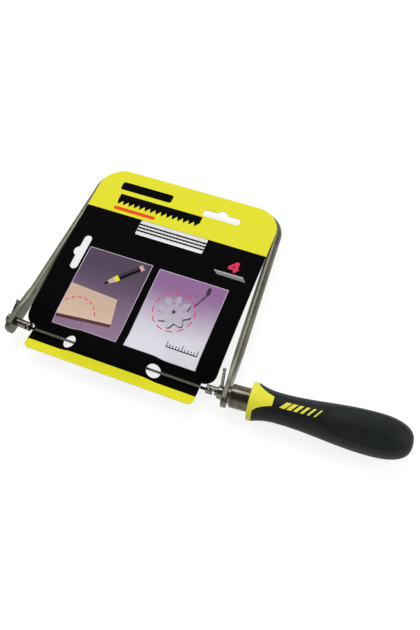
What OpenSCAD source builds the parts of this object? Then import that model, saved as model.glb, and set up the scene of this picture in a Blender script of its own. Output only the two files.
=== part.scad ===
// Fret saw on its hanging card: a bow of bent rod, two blade holders that turn
// in its flattened ends, a pin-ended blade and a screw handle that tightens it.
// Lengths are in millimetres and angles in degrees. The saw lies flat. +X runs
// along the blade to the handle, +Y runs to the back of the bow, +Z faces up.
// Each holder has an axis of its own, square to the plate that carries it and
// tilted from the blade by the splay of that arm. On it, x counts outward from
// the place of the blade pin, and the pin itself sits a little below the axis.

/* [Blade] */
// Distance between the two blade pins
blade_span = 165; // [155:1:172]
// Width of the blade over its teeth
blade_w = 2.4; // [2:0.1:2.5]
// Distance of the blade's middle below the axes of its holders
blade_drop = 0.8; // [0.5:0.1:0.8]
// Thickness of the blade
blade_t = 0.5; // [0.4:0.05:0.6]
// Length of blade beyond each pin
blade_tail = 1.5; // [1.3:0.1:1.6]
// Distance from one tooth to the next
tooth_pitch = 1.6; // [1.4:0.1:2.4]
// Depth of the gullets between the teeth
tooth_depth = 0.6; // [0.4:0.1:0.8]
// Plain length between each pin and the first tooth
tooth_margin = 7; // [5:0.5:12]
// Diameter of a blade pin
pin_d = 1.4; // [1.2:0.1:1.5]
// Length of a blade pin
pin_len = 5.8; // [5:0.1:6]

/* [Bow] */
// Diameter of the rod
rod_d = 8; // [7.6:0.1:8.2]
// Clear depth from the blade to the back bar
throat = 168.7; // [163:0.1:185]
// Bend radius of the corners at the middle of the rod
corner_r = 19.8; // [16:0.2:28]
// Gap in radius from the section of the bends in to the straight back bar
bend_gap = 0.02; // [0.02:0.01:0.04]
// Length of the back bar inside each bend
bend_lap = 0.3; // [0.2:0.1:0.4]
// Spread of the front arm toward the blade
front_splay = 2.8; // [2.4:0.1:3]
// Spread of the rear arm toward the blade, which tilts the handle
rear_splay = 4.2; // [3.6:0.1:4.3]
// Distance from the front pin to the middle of the front plate
front_reach = 13.9; // [13.7:0.1:16]
// Distance from the rear pin to the middle of the rear plate
rear_reach = 14; // [13.8:0.1:16]
// Thickness of the flattened plates
plate_t = 3.9; // [3.6:0.1:4.1]
// Width of the flattened plates
plate_w = 13.9; // [13:0.1:16]
// Length of plate below the holder's axis
plate_below = 10.7; // [9:0.1:12]
// Corner radius at the bottom of a plate
plate_corner_r = 5; // [3:0.5:6]
// Height above the axis where the plate starts to thicken
flat_start = 10.4; // [9:0.1:12]
// Height above the axis where the rod is full round
flat_end = 38; // [34:1:44]

/* [Blade holders] */
// Diameter of the slotted holders
holder_d = 7.3; // [7:0.1:7.6]
// Diameter of the shanks in the plates
shank_d = 5.4; // [5:0.1:5.6]
// Length of the jaws that stand beyond the pin
jaw_reach = 2.6; // [2:0.1:2.8]
// Width of the slot for the blade
slot_w = 1.45; // [1.45:0.05:1.6]
// Play of the pin in its channel
pin_play = 0.26; // [0.22:0.02:0.3]
// Draw of the rear holder as the handle is unscrewed
draw = 4; // [3:0.1:4]
// Diameter of the knob outside the front plate
knob_d = 8.6; // [7.8:0.1:9]
// Length of the knob
knob_len = 4.4; // [4.2:0.1:6]
// Diameter of the collar inside the rear plate
collar_d = 11; // [10:0.2:12]
// Length of the collar
collar_len = 5; // [4.9:0.1:5.4]
// Rounding of the turned edges
turned_edge = 0.8; // [0.4:0.1:1]

/* [Levers] */
// Diameter of a lever bar
bar_d = 2.6; // [2.2:0.1:2.8]
// Length of the front lever from the axis to its tip
front_lever_len = 17.8; // [15:0.2:19]
// Length of the rear lever from the axis to its tip
rear_lever_len = 22; // [16:0.2:23]
// Diameter of the ball at its tip
ball_d = 3.2; // [2.9:0.1:3.3]
// Diameter of the neck under the ball
neck_d = 1.9; // [1.6:0.1:2.1]
// Length of the neck under the ball
neck_len = 1.1; // [0.8:0.1:1.5]
// Turn of the front lever from the plane of the saw
front_lever_turn = 21; // [0:1:60]
// Turn of the rear lever from the plane of the saw
rear_lever_turn = 50; // [0:1:60]

/* [Handle] */
// Length from the face of the ferrule to the butt
handle_len = 142; // [135:0.5:150]
// Length of the ferrule
ferrule_len = 15.8; // [15:0.1:18]
// Diameter of the ferrule
ferrule_d = 19.2; // [18.8:0.1:22]
// Wall of the ferrule
ferrule_wall = 0.8; // [0.6:0.1:1]
// Thickness of the ferrule's face
ferrule_face = 1.2; // [1:0.1:1.5]
// Diameter of the bolster flange
flange_d = 31; // [30:0.1:33]
// Length of the bolster flange
flange_len = 4; // [3.5:0.1:4.5]
// Diameter at the waist of the grip
waist_d = 24.2; // [23:0.1:26]
// Distance from the flange to the waist
waist_at = 19.8; // [18:0.1:24]
// Diameter of the swell, which sets how high the saw lies
swell_d = 34; // [33:0.1:36]
// Distance from the flange to the middle of the swell
swell_at = 91; // [86:1:98]
// Thickness of the rubber over the core
rubber_t = 3; // [2:0.2:4]
// Width of a tongue at the flange
tongue_w = 22; // [18:0.5:24]
// Width of a tongue at its tip
tongue_tip_w = 8.2; // [6:0.2:12]
// Length of a tongue
tongue_len = 14; // [10:0.5:16]

/* [Tension screw] */
// Diameter of the thread on the rear holder
thread_d = 5; // [4.6:0.1:5.1]
// Pitch of the thread
thread_pitch = 0.8; // [0.7:0.05:1]
// Depth of the thread
thread_depth = 0.4; // [0.3:0.05:0.5]
// Reach of the thread beyond the face of the ferrule
thread_reach = 42; // [30:1:60]
// Width of the tension nut across its flats
nut_w = 9; // [8.5:0.1:10]
// Length of the tension nut
nut_len = 8; // [6:0.5:10]
// Diameter of the thrust washer
washer_d = 14; // [12:0.5:16]
// Thickness of the thrust washer
washer_t = 2; // [1.5:0.1:2.2]

/* [Card] */
// Left edge of the card from the front pin
card_left = -6.7; // [-7:0.1:-5]
// Reach of the card past the rear pin
card_past = 1.7; // [0.5:0.1:2.4]
// Top edge of the card above the blade
card_top = 176.7; // [176.5:0.1:190]
// Bottom edge of the card below the blade
card_bottom = -17.7; // [-24:0.1:-16]
// Thickness of the board
card_t = 0.6; // [0.4:0.05:0.7]
// Radius of the top corners
card_top_r = 22.8; // [12:0.2:24]
// Height of the body's lower edge above the blade
card_step = 3.5; // [3.5:0.1:5]
// Radius of the shoulders above the bottom tab
card_shoulder_r = 10; // [9:0.5:12]
// Left edge of the bottom tab
tab_left = 4; // [3:0.1:6]
// Distance from the right edge of the bottom tab to the rear pin
tab_short = 8.3; // [8:0.1:12]
// Corner radius of the bottom tab
tab_r = 5; // [3:0.5:7]
// Distance of the board from the blade where they are woven
weave = 2.7; // [2.7:0.05:3]
// Length over which the board passes from one side of the blade to the other
weave_half = 7; // [6:0.5:7]
// Gap between the board and the back bar that it lies on
card_gap = 0.35; // [0.3:0.05:0.6]
// Distance from the blade, on both sides, over which the board keeps its full weave
weave_flat = 3; // [2.6:0.1:4]
// Height above the blade where the weave has faded
fade_end = 25; // [20:1:40]
// Height above the blade where the board has risen over the bow
rise_end = 109; // [100:1:109]
// Diameter of the two holes that the blade passes through
hole_d = 11.5; // [11.5:0.1:14]
// First hole from the front pin
hole_1_x = 40; // [36:0.1:42]
// Distance from the second hole to the rear pin
hole_2_back = 48.3; // [46:0.1:52]
// Middle of both holes below the blade
hole_drop = 1; // [0:0.1:1]
// Left edge of the window
window_left = 48.1; // [44:0.1:50]
// Right edge of the window
window_right = 112.9; // [105:0.1:116]
// Bottom edge of the window
window_low = 113.6; // [113.6:0.1:115]
// Top edge of the window
window_high = 129.6; // [128:0.1:129.6]
// Corner radius of the window's lower corners
window_r = 2; // [1:0.2:3]
// Length of a hang slot
hang_len = 35.6; // [32:0.2:38]
// Width of a hang slot
hang_w = 7.1; // [6:0.1:7.5]
// Radius of the bump in the middle of a hang slot
hang_bump_r = 5.1; // [4.8:0.1:6]
// Middle of the top hang slot from the front pin
hang_top_x = 115.1; // [108:0.1:120]
// Middle of the top hang slot above the blade
hang_top_y = 155.7; // [150:0.1:160]
// Middle of the side hang slot from the front pin
hang_side_x = 10.8; // [8:0.1:14]
// Middle of the side hang slot above the blade
hang_side_y = 80.5; // [76:0.1:90]

/* [Spare blades] */
// Distance from one spare blade to the next
spare_step = 3.4; // [3.25:0.05:3.5]
// Place of the top spare blade above the mounted one
spare_high = 125.8; // [125.4:0.1:126]
// Sideways shift between spare blades, which lets their pins pass
spare_shift = 1.5; // [1.45:0.05:1.6]
// Lowest of the spare blades' front pins along the blade
spare_x = -2.15; // [-2.3:0.05:-2]
// Thickness of the pocket's sheet
pocket_t = 0.3; // [0.2:0.05:0.35]
// Inner width of the pocket
pocket_w = 16.4; // [16:0.1:16.6]
// Width of a glued edge of the pocket
pocket_edge = 4; // [3:0.1:4]
// Left end of the pocket
pocket_left = -3.3; // [-3.5:0.1:0]
// Reach of the pocket past the rear pin
pocket_past = 0.2; // [-6:0.1:0.3]

/* [Fits] */
// Radial clearance of what turns or slides in a hole
run_fit = 0.06; // [0.02:0.01:0.1]
// Gap between faces that turn past each other
seat_gap = 0.1; // [0.05:0.05:0.2]
// Gap round pieces that are set into the same body
set_gap = 0.03; // [0.01:0.01:0.05]

/* [Hidden] */
$fn = 64;
// Overrun of every cut past the solid it goes through
over = holder_d;
// Middle of the back bar above the blade
bar_y = throat + rod_d / 2;
// Faces of the two plates on their axes
front_out = front_reach + plate_t / 2;
front_in = front_reach - plate_t / 2;
rear_out = rear_reach + plate_t / 2;
rear_in = rear_reach - plate_t / 2;
// Outer end of the knob and of the shank inside it
knob_end = front_out + seat_gap + knob_len;
front_shank_end = knob_end - turned_edge;
// The rear collar on its axis
collar_out = rear_in - seat_gap;
collar_in = collar_out - collar_len;
// Middles of the levers on their axes
front_lever_x = front_out + seat_gap + knob_len / 2;
rear_lever_x = collar_out - collar_len / 2;
// Face of the ferrule, from which the handle's own lengths count
face_x = rear_out + seat_gap + washer_t + set_gap;
bolster = ferrule_len + flange_len;
swell_u = bolster + swell_at;
waist_u = bolster + waist_at;
neck_r = ferrule_d / 2 - ferrule_wall - set_gap;
// Hole for the shank in the washer and the ferrule, and for the thread in the core
easy_hole_d = shank_d + pin_play * 2;
// Shares of the grip's outline: power of the flare, and powers of the butt
flare_share = 2.4;
butt_along_share = 2.4;
butt_round_share = 2.8;
// Counts of straight steps in the grip's flare, body and butt
flare_steps = 8;
body_steps = 18;
butt_steps = 14;
// Share of a tooth's pitch from its point to the bottom of its gullet
gullet_share = 0.2;
// Share of the rubber that is left over the core at the butt, where it is thickest
butt_rubber_share = 1.5;
// Rounding of the smaller edges as a share of the turned edges
fine_edge_share = 0.5;
// Sideways place of each spare blade, as shares of the shift between them
spare_shift_shares = [0, 1, 0];
// Edges of the card that count from the rear pin
card_right = blade_span + card_past;
tab_right = blade_span - tab_short;
hole_2_x = blade_span - hole_2_back;
pocket_right = blade_span + pocket_past;
// Board over the bow
card_high = rod_d / 2 + card_gap + card_t / 2;
// Spare blades stand on edge under the board
spare_top = card_high - card_t / 2 - pin_play / 2;
spare_mid = spare_top - blade_w / 2;
pocket_high = card_high - card_t / 2;
pocket_low = spare_top - blade_w - pin_play / 2 - pocket_t;
pocket_mid = (window_low + window_high) / 2;
// The model stands in the middle of its own box, on its lowest point
x_low = -(knob_end * cos(front_splay)
    + (knob_d / 2 - turned_edge) * sin(front_splay)
    + turned_edge * (1 - cos(front_splay)));
x_high = blade_span + (face_x + handle_len) * cos(rear_splay);
place = [-(x_low + x_high) / 2, -(card_top + card_bottom) / 2, swell_d / 2];

// Length of an arm from its plate to the start of its corner
function arm_len(reach, splay) =
    (bar_y - corner_r - (reach - corner_r) * sin(splay)) / cos(splay);

// Middle of a corner's bend, outward along the blade from the pin
function corner_out(reach, splay) =
    (reach - corner_r) * cos(splay) - arm_len(reach, splay) * sin(splay);

// Radius of the grip at a distance u from the face of the ferrule
function grip_r(u) =
    u <= waist_u
    ? waist_d / 2 + (flange_d - waist_d) / 2
        * pow((waist_u - u) / waist_at, flare_share)
    : u <= swell_u
    ? waist_d / 2 + (swell_d - waist_d) / 4
        * (1 - cos(180 * (u - waist_u) / (swell_u - waist_u)))
    : swell_d / 2 * pow(1 - pow((u - swell_u) / (handle_len - swell_u),
        butt_along_share), 1 / butt_round_share);

// Stations along the grip, closer together where it curves most
grip_stations = concat(
    [for (i = [0:flare_steps - 1]) bolster + waist_at * i / flare_steps],
    [for (i = [0:body_steps - 1])
        waist_u + (swell_u - waist_u) * i / body_steps],
    [for (i = [0:butt_steps - 1])
        swell_u + (handle_len - swell_u) * sin(90 * i / butt_steps)]);

// Stations of the core, which ends inside the rubber
core_end = handle_len - rubber_t * butt_rubber_share;
core_stations = [for (u = grip_stations) if (u < core_end) u];

// Side of the blade that the board lies on, from -1 behind to 1 in front
function crossing(x) = sin(90 * max(-1, min(1, x / weave_half)));
function side(x) = crossing(x - hole_1_x) - crossing(x - hole_2_x) - 1;

// Share of the weave that is left at a height: none at fade_end and at the bottom edge
function faded(past, run) = (1 + cos(180 * max(0, min(1, past / run)))) / 2;
function fade(y) = y > 0 ? faded(y - weave_flat, fade_end - weave_flat)
    : faded(-y - weave_flat, -card_bottom - weave_flat);

// Height of the middle of the board
function card_z(x, y) =
    card_high * sin(90 * max(0, min(1, y / rise_end))) + weave * side(x) * fade(y);

// Stations of the board's grid
steps_wide = 5;
steps_cross = 6;
steps_below = 5;
steps_fade = 7;
steps_rise = 5;
function spread(from, to, n) = [for (i = [0:n - 1]) from + (to - from) * i / n];
card_xs = concat(
    spread(card_left - card_t, hole_1_x - weave_half, steps_wide),
    spread(hole_1_x - weave_half, hole_1_x + weave_half, steps_cross),
    spread(hole_1_x + weave_half, hole_2_x - weave_half, steps_wide),
    spread(hole_2_x - weave_half, hole_2_x + weave_half, steps_cross),
    spread(hole_2_x + weave_half, card_right + card_t, steps_wide),
    [card_right + card_t]);
card_ys = concat(
    [card_bottom - card_t],
    spread(card_bottom, -weave_flat, steps_below),
    [-weave_flat, 0],
    spread(weave_flat, fade_end, steps_fade),
    spread(fade_end, rise_end, steps_rise),
    [rise_end, card_top + card_t]);

// Axes of the two holders: x runs outward and y runs up the arm
module at_front() {
    translate(place)
        mirror([1, 0, 0])
        rotate([0, 0, front_splay])
        children();
}

module at_rear() {
    translate(place + [blade_span, 0, 0])
        rotate([0, 0, rear_splay])
        children();
}

module at_handle() {
    at_rear() translate([face_x, 0, 0]) children();
}

// Plain round bar along x
module bar(from, to, d) {
    translate([from, 0, 0])
        rotate([0, 90, 0])
        cylinder(h = to - from, d = d);
}

// Round bar along x with rounded edges
module turned(from, to, d, edge) {
    len = to - from;
    translate([from, 0, 0])
        rotate([0, 90, 0])
        rotate_extrude() {
            translate([0, edge]) square([d / 2, len - 2 * edge]);
            square([d / 2 - edge, len]);
            translate([d / 2 - edge, edge]) circle(r = edge);
            translate([d / 2 - edge, len - edge]) circle(r = edge);
        }
}

// Arm of the bow, from its plate up to its bend
module arm(reach, splay) {
    len = arm_len(reach, splay);
    taper = (rod_d - plate_t) / 2 / (flat_end - flat_start);
    flare_r = norm([plate_w, plate_t]) / 2 + turned_edge / 4;
    translate([reach, 0, 0]) {
        intersection() {
            rotate([-90, 0, 0])
                rotate_extrude()
                polygon([[0, flat_start], [flare_r, flat_start],
                    [rod_d / 2, flat_end - rod_d / 2],
                    [rod_d / 2, len], [0, len]]);
            linear_extrude(height = plate_w, center = true)
                polygon([[-plate_t / 2, flat_start], [plate_t / 2, flat_start],
                    [plate_t / 2 + taper * (len + over - flat_start), len + over],
                    [-plate_t / 2 - taper * (len + over - flat_start), len + over]]);
        }
        translate([-corner_r, len, 0])
            rotate_extrude(angle = 90 - splay)
            translate([corner_r, 0])
            circle(d = rod_d);
        plate();
    }
}

// Flattened plate at the end of an arm, with its hole for the shank
module plate() {
    inset = plate_w / 2 - plate_corner_r;
    difference() {
        rotate([0, 90, 0])
            linear_extrude(height = plate_t, center = true) {
                translate([-plate_w / 2, plate_corner_r - plate_below])
                    square([plate_w, flat_start + plate_below - plate_corner_r]);
                translate([-inset, -plate_below])
                    square([2 * inset, plate_corner_r]);
                for (side = [-1, 1])
                    translate([side * inset, plate_corner_r - plate_below])
                        circle(r = plate_corner_r);
            }
        bar(-plate_t, plate_t, shank_d + 2 * run_fit);
    }
}

// The back bar stands a little inside the section of the bends that it joins
module bow() {
    bar_from = -corner_out(front_reach, front_splay) - bend_lap;
    bar_to = blade_span + corner_out(rear_reach, rear_splay) + bend_lap;
    color("silver") {
        at_front() arm(front_reach, front_splay);
        at_rear() arm(rear_reach, rear_splay);
        translate(place + [0, bar_y, 0]) bar(bar_from, bar_to, rod_d - 2 * bend_gap);
    }
}

// Slotted end of a holder: jaws for the blade, a channel in which its pin slides,
// and an open notch at the channel's inner end, through which the pin goes in
module holder(shoulder, slide) {
    channel_w = pin_d + 2 * pin_play;
    channel_low = -blade_drop - channel_w / 2;
    difference() {
        turned(-jaw_reach, shoulder, holder_d, turned_edge * fine_edge_share);
        translate([-jaw_reach - over, -holder_d, -slot_w / 2])
            cube([jaw_reach + over + blade_tail + 2 * pin_play + slide,
                2 * holder_d, slot_w]);
        translate([-channel_w / 2, channel_low, -holder_d])
            cube([channel_w + slide, channel_w, 2 * holder_d]);
        translate([slide - channel_w / 2, channel_low - holder_d, -holder_d])
            cube([channel_w, holder_d + channel_w, 2 * holder_d]);
    }
}

// Puts a lever's own frame, with +Y along its bar, at a place on an axis
module at_lever(x, turn) {
    translate([x, 0, 0]) rotate([turn, 0, 0]) children();
}

// Cross hole for a lever, drawn out along x where the holder slides past it
module lever_hole(x, turn, slide, gap) {
    reach = collar_d;
    wide = bar_d + 2 * gap;
    at_lever(x, turn) {
        rotate([90, 0, 0]) cylinder(h = 2 * reach, d = wide, center = true);
        if (slide > 0) {
            translate([slide, 0, 0])
                rotate([90, 0, 0])
                cylinder(h = 2 * reach, d = wide, center = true);
            translate([0, -reach, -wide / 2]) cube([slide, 2 * reach, wide]);
        }
    }
}

// Lever bar with its ball, through the middle of a knob or collar
module lever(x, turn, long, carrier_d) {
    ball_at = long - ball_d / 2;
    bar_top = ball_at - ball_d / 2 - neck_len;
    stub = carrier_d / 2 + turned_edge * fine_edge_share;
    at_lever(x, turn) {
        translate([0, -stub, 0])
            rotate([-90, 0, 0])
            cylinder(h = stub + bar_top, d = bar_d);
        translate([0, bar_top, 0])
            rotate([-90, 0, 0])
            cylinder(h = ball_at - bar_top, d = neck_d);
        translate([0, ball_at, 0]) sphere(d = ball_d);
    }
}

module front_spigot() {
    shoulder = front_in - seat_gap;
    color("gainsboro")
        at_front()
        difference() {
            union() {
                holder(shoulder, 0);
                bar(shoulder - turned_edge, front_shank_end, shank_d);
            }
            lever_hole(front_lever_x, front_lever_turn, 0, set_gap);
        }
}

module front_knob() {
    color("silver")
        at_front()
        difference() {
            turned(front_out + seat_gap, knob_end, knob_d, turned_edge);
            bar(front_out, front_shank_end + set_gap, shank_d + 2 * set_gap);
            lever_hole(front_lever_x, front_lever_turn, 0, set_gap);
        }
}

module front_lever() {
    color("gainsboro")
        at_front()
        lever(front_lever_x, front_lever_turn, front_lever_len, knob_d);
}

// Thread drawn as rings, so that it stays in the nut at every turn
module thread(from, to) {
    count = floor((to - from) / thread_pitch);
    crest = thread_d / 2;
    root = thread_d / 2 - thread_depth;
    translate([from, 0, 0])
        rotate([0, 90, 0])
        rotate_extrude()
        polygon(concat([[0, 0]],
            [for (i = [0:count - 1]) each [
                [root, i * thread_pitch],
                [crest, (i + 0.5) * thread_pitch]]],
            [[root, count * thread_pitch], [0, count * thread_pitch]]));
}

module rear_spigot() {
    shoulder = rear_in - seat_gap;
    thread_from = face_x + ferrule_face - 2 * seat_gap;
    color("gainsboro")
        at_rear()
        difference() {
            union() {
                holder(shoulder, draw);
                bar(shoulder - turned_edge, thread_from, shank_d);
                thread(thread_from, face_x + thread_reach);
            }
            lever_hole(rear_lever_x, rear_lever_turn, draw, run_fit);
        }
}

module rear_collar() {
    color("silver")
        at_rear()
        difference() {
            turned(collar_in, collar_out, collar_d, turned_edge);
            bar(collar_in - over, collar_out + over, holder_d + 2 * run_fit);
            lever_hole(rear_lever_x, rear_lever_turn, 0, set_gap);
        }
}

module rear_lever() {
    color("gainsboro")
        at_rear()
        lever(rear_lever_x, rear_lever_turn, rear_lever_len, collar_d);
}

// Toothed strip with a hole for each pin; the teeth face away from the back bar
module blade_strip() {
    low = -blade_w / 2;
    root = low + tooth_depth;
    count = floor((blade_span - 2 * tooth_margin) / tooth_pitch);
    first = (blade_span - count * tooth_pitch) / 2;
    linear_extrude(height = blade_t, center = true)
        difference() {
            polygon(concat(
                [[-blade_tail, blade_w / 2], [-blade_tail, low]],
                [for (i = [0:count - 1]) each [
                    [first + i * tooth_pitch, low],
                    [first + (i + gullet_share) * tooth_pitch, root]]],
                [[blade_span + blade_tail, low],
                    [blade_span + blade_tail, blade_w / 2]]));
            for (x = [0, blade_span])
                translate([x, 0]) circle(d = pin_d + 2 * set_gap, $fn = 24);
        }
}

module blade_pin() {
    cylinder(h = pin_len, d = pin_d, center = true, $fn = 24);
}

module blade() {
    color("dimgray") translate(place - [0, blade_drop, 0]) blade_strip();
}

module front_blade_pin() {
    color("gray") translate(place - [0, blade_drop, 0]) blade_pin();
}

module rear_blade_pin() {
    color("gray") translate(place + [blade_span, -blade_drop, 0]) blade_pin();
}

module thrust_washer() {
    color("silver")
        at_rear()
        difference() {
            turned(face_x - set_gap - washer_t, face_x - set_gap, washer_d,
                turned_edge * fine_edge_share);
            bar(rear_out - over, face_x + over, easy_hole_d);
        }
}

// Chromed cup on the neck of the core
module ferrule() {
    color("silver")
        at_handle()
        difference() {
            turned(0, ferrule_len - set_gap, ferrule_d, turned_edge);
            bar(ferrule_face, ferrule_len + over, ferrule_d - 2 * ferrule_wall);
            bar(-over, over, easy_hole_d);
        }
}

// Solid of revolution through stations, with a radius that a gap takes down
module grip_body(stations, depth, end) {
    rotate([0, 90, 0])
        rotate_extrude()
        polygon(concat([[0, stations[0]]],
            [for (u = stations) [grip_r(u) - depth, u]],
            [[0, end]]));
}

// Plan of the two tongues, extruded through both sides of the grip
module tongue_prism(gap) {
    from = bolster - flange_len / 2;
    to = bolster + tongue_len;
    linear_extrude(height = 2 * flange_d, center = true)
        polygon([[from, -tongue_w / 2 - gap], [bolster, -tongue_w / 2 - gap],
            [to + gap, -tongue_tip_w / 2 - gap], [to + gap, tongue_tip_w / 2 + gap],
            [bolster, tongue_w / 2 + gap], [from, tongue_w / 2 + gap]]);
}

// Six-sided bar along x, measured across its flats
module hexagon(from, to, wide) {
    translate([from, 0, 0])
        rotate([0, 90, 0])
        cylinder(h = to - from, d = wide / cos(30), $fn = 6);
}

module tension_nut() {
    from = ferrule_face + set_gap;
    color("goldenrod")
        at_handle()
        difference() {
            hexagon(from, from + nut_len, nut_w);
            bar(from - over, from + nut_len + over, thread_d + 2 * run_fit);
        }
}

module handle_core() {
    from = ferrule_face + set_gap;
    color("yellow")
        at_handle()
        difference() {
            union() {
                bar(from, bolster, 2 * neck_r);
                turned(ferrule_len, bolster, flange_d, turned_edge);
                grip_body(core_stations, rubber_t, core_end);
                intersection() {
                    grip_body(grip_stations, 0, handle_len);
                    tongue_prism(0);
                }
            }
            hexagon(from - over, from + nut_len + set_gap, nut_w + 2 * set_gap);
            bar(from, face_x + thread_reach, easy_hole_d);
        }
}

module handle_grip() {
    color("darkslategray")
        at_handle()
        difference() {
            grip_body(grip_stations, 0, handle_len);
            grip_body(core_stations, rubber_t - set_gap, core_end + set_gap);
            tongue_prism(set_gap);
        }
}

// Outline with four rounded corners: two radii, for the bottom and for the top
module rounded(left, right, low, high, low_r, high_r) {
    for (side = [[left, 1], [right, -1]]) {
        translate([side[0] + side[1] * low_r, low + low_r]) circle(r = low_r);
        translate([side[0] + side[1] * high_r, high - high_r]) circle(r = high_r);
    }
    translate([left + low_r, low]) square([right - left - 2 * low_r, low_r]);
    translate([left + high_r, high - high_r])
        square([right - left - 2 * high_r, high_r]);
    translate([left, low + low_r])
        square([right - left, high - low - low_r - high_r]);
}

// Hang slot for a shop hook: a long slot with a bump in its middle
module hang_slot() {
    end = (hang_len - hang_w) / 2;
    square([2 * end, hang_w], center = true);
    for (x = [-end, end]) translate([x, 0]) circle(d = hang_w);
    translate([0, hang_w / 4]) circle(r = hang_bump_r);
}

module card_outline() {
    difference() {
        union() {
            rounded(card_left, card_right, card_step, card_top,
                card_shoulder_r, card_top_r);
            rounded(tab_left, tab_right, card_bottom, card_step + card_shoulder_r,
                tab_r, tab_r);
        }
        for (x = [hole_1_x, hole_2_x]) translate([x, -hole_drop]) circle(d = hole_d);
        rounded(window_left, window_right, window_low, window_high,
            window_r, window_r / 4);
        translate([hang_top_x, hang_top_y]) hang_slot();
        translate([hang_side_x, hang_side_y]) rotate([0, 0, 90]) hang_slot();
        translate([card_left - over, -holder_d / 2 - turned_edge])
            square([jaw_reach + turned_edge - card_left + over,
                holder_d + 2 * turned_edge]);
    }
}

// Curved sheet that the outline is cut from
module card_sheet() {
    nx = len(card_xs);
    ny = len(card_ys);
    top = [for (y = card_ys) for (x = card_xs) [x, y, card_z(x, y) + card_t / 2]];
    bottom = [for (y = card_ys) for (x = card_xs) [x, y, card_z(x, y) - card_t / 2]];
    n = nx * ny;
    polyhedron(points = concat(top, bottom), convexity = 6, faces = concat(
        [for (j = [0:ny - 2]) for (i = [0:nx - 2]) each [
            [j * nx + i, (j + 1) * nx + i + 1, j * nx + i + 1],
            [j * nx + i, (j + 1) * nx + i, (j + 1) * nx + i + 1],
            [n + j * nx + i, n + j * nx + i + 1, n + (j + 1) * nx + i + 1],
            [n + j * nx + i, n + (j + 1) * nx + i + 1, n + (j + 1) * nx + i]]],
        [for (i = [0:nx - 2]) each [
            [i, i + 1, n + i + 1],
            [i, n + i + 1, n + i],
            [(ny - 1) * nx + i + 1, (ny - 1) * nx + i, n + (ny - 1) * nx + i],
            [(ny - 1) * nx + i + 1, n + (ny - 1) * nx + i, n + (ny - 1) * nx + i + 1]]],
        [for (j = [0:ny - 2]) each [
            [(j + 1) * nx, j * nx, n + j * nx],
            [(j + 1) * nx, n + j * nx, n + (j + 1) * nx],
            [j * nx + nx - 1, (j + 1) * nx + nx - 1, n + (j + 1) * nx + nx - 1],
            [j * nx + nx - 1, n + (j + 1) * nx + nx - 1, n + j * nx + nx - 1]]]));
}

module card() {
    color("gold")
        translate(place)
        intersection() {
            card_sheet();
            linear_extrude(height = 2 * swell_d, center = true) card_outline();
        }
}

// Folded strip glued to the back of the board, open at both ends
module blade_pocket() {
    half = pocket_w / 2;
    edge = half + pocket_t + pocket_edge;
    color("white")
        translate(place + [pocket_left, pocket_mid, 0])
        rotate([90, 0, 90])
        linear_extrude(height = pocket_right - pocket_left)
        polygon([[-edge, pocket_high], [-edge, pocket_high - pocket_t],
            [-half - pocket_t, pocket_high - pocket_t], [-half - pocket_t, pocket_low],
            [half + pocket_t, pocket_low], [half + pocket_t, pocket_high - pocket_t],
            [edge, pocket_high - pocket_t], [edge, pocket_high],
            [half, pocket_high], [half, pocket_low + pocket_t],
            [-half, pocket_low + pocket_t], [-half, pocket_high]]);
}

// Spare blades stand on edge, each shifted so that its pins clear the next
module at_spare(i) {
    translate(place + [spare_x + spare_shift * spare_shift_shares[i],
        spare_high - spare_step * i, spare_mid])
        rotate([90, 0, 0])
        children();
}

module spare_blade(i) {
    color("dimgray") at_spare(i) blade_strip();
}

module spare_blade_pins() {
    color("gray")
        for (i = [0:2])
            at_spare(i)
                for (x = [0, blade_span])
                    translate([x, 0, 0]) blade_pin();
}

bow();
front_spigot();
front_knob();
front_lever();
rear_spigot();
rear_collar();
rear_lever();
blade();
front_blade_pin();
rear_blade_pin();
thrust_washer();
ferrule();
tension_nut();
handle_core();
handle_grip();
card();
blade_pocket();
spare_blade(0);  // spare_blade_1
spare_blade(1);  // spare_blade_2
spare_blade(2);  // spare_blade_3
spare_blade_pins();
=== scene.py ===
# %% [markdown]
# # A fret saw on its hanging card
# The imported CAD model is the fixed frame: every piece below is set where that model says.
# The metal parts keep their CAD shapes and get finishes. The card, the two mouldings of the
# handle and the toothed blades are made again here, because their looks are in fine detail.

# %% Load the frame
import math
import bpy
import bmesh
from mathutils import Matrix, Vector
from mathutils.geometry import delaunay_2d_cdt


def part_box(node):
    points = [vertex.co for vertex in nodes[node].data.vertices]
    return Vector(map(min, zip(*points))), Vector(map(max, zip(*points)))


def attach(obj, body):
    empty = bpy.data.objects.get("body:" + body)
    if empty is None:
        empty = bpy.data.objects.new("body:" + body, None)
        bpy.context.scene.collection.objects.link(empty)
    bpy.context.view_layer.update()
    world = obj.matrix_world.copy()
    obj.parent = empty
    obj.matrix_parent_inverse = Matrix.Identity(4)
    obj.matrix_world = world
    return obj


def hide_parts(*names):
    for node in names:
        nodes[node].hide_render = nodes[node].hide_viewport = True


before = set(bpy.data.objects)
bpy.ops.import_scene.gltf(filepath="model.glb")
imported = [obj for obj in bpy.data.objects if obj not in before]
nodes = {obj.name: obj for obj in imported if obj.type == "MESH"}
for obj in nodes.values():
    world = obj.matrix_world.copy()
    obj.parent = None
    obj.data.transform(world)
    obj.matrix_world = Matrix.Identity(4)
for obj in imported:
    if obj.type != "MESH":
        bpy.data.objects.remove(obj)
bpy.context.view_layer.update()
MM = 0.001

# %% [markdown]
# Sizes are easiest to think of in millimetres from one point. Here it is the point where
# the axis of the front holder meets the front blade pin. The CAD boxes give it, so nothing
# is fitted. Lengths in this script are in millimetres unless a line says otherwise.

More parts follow.
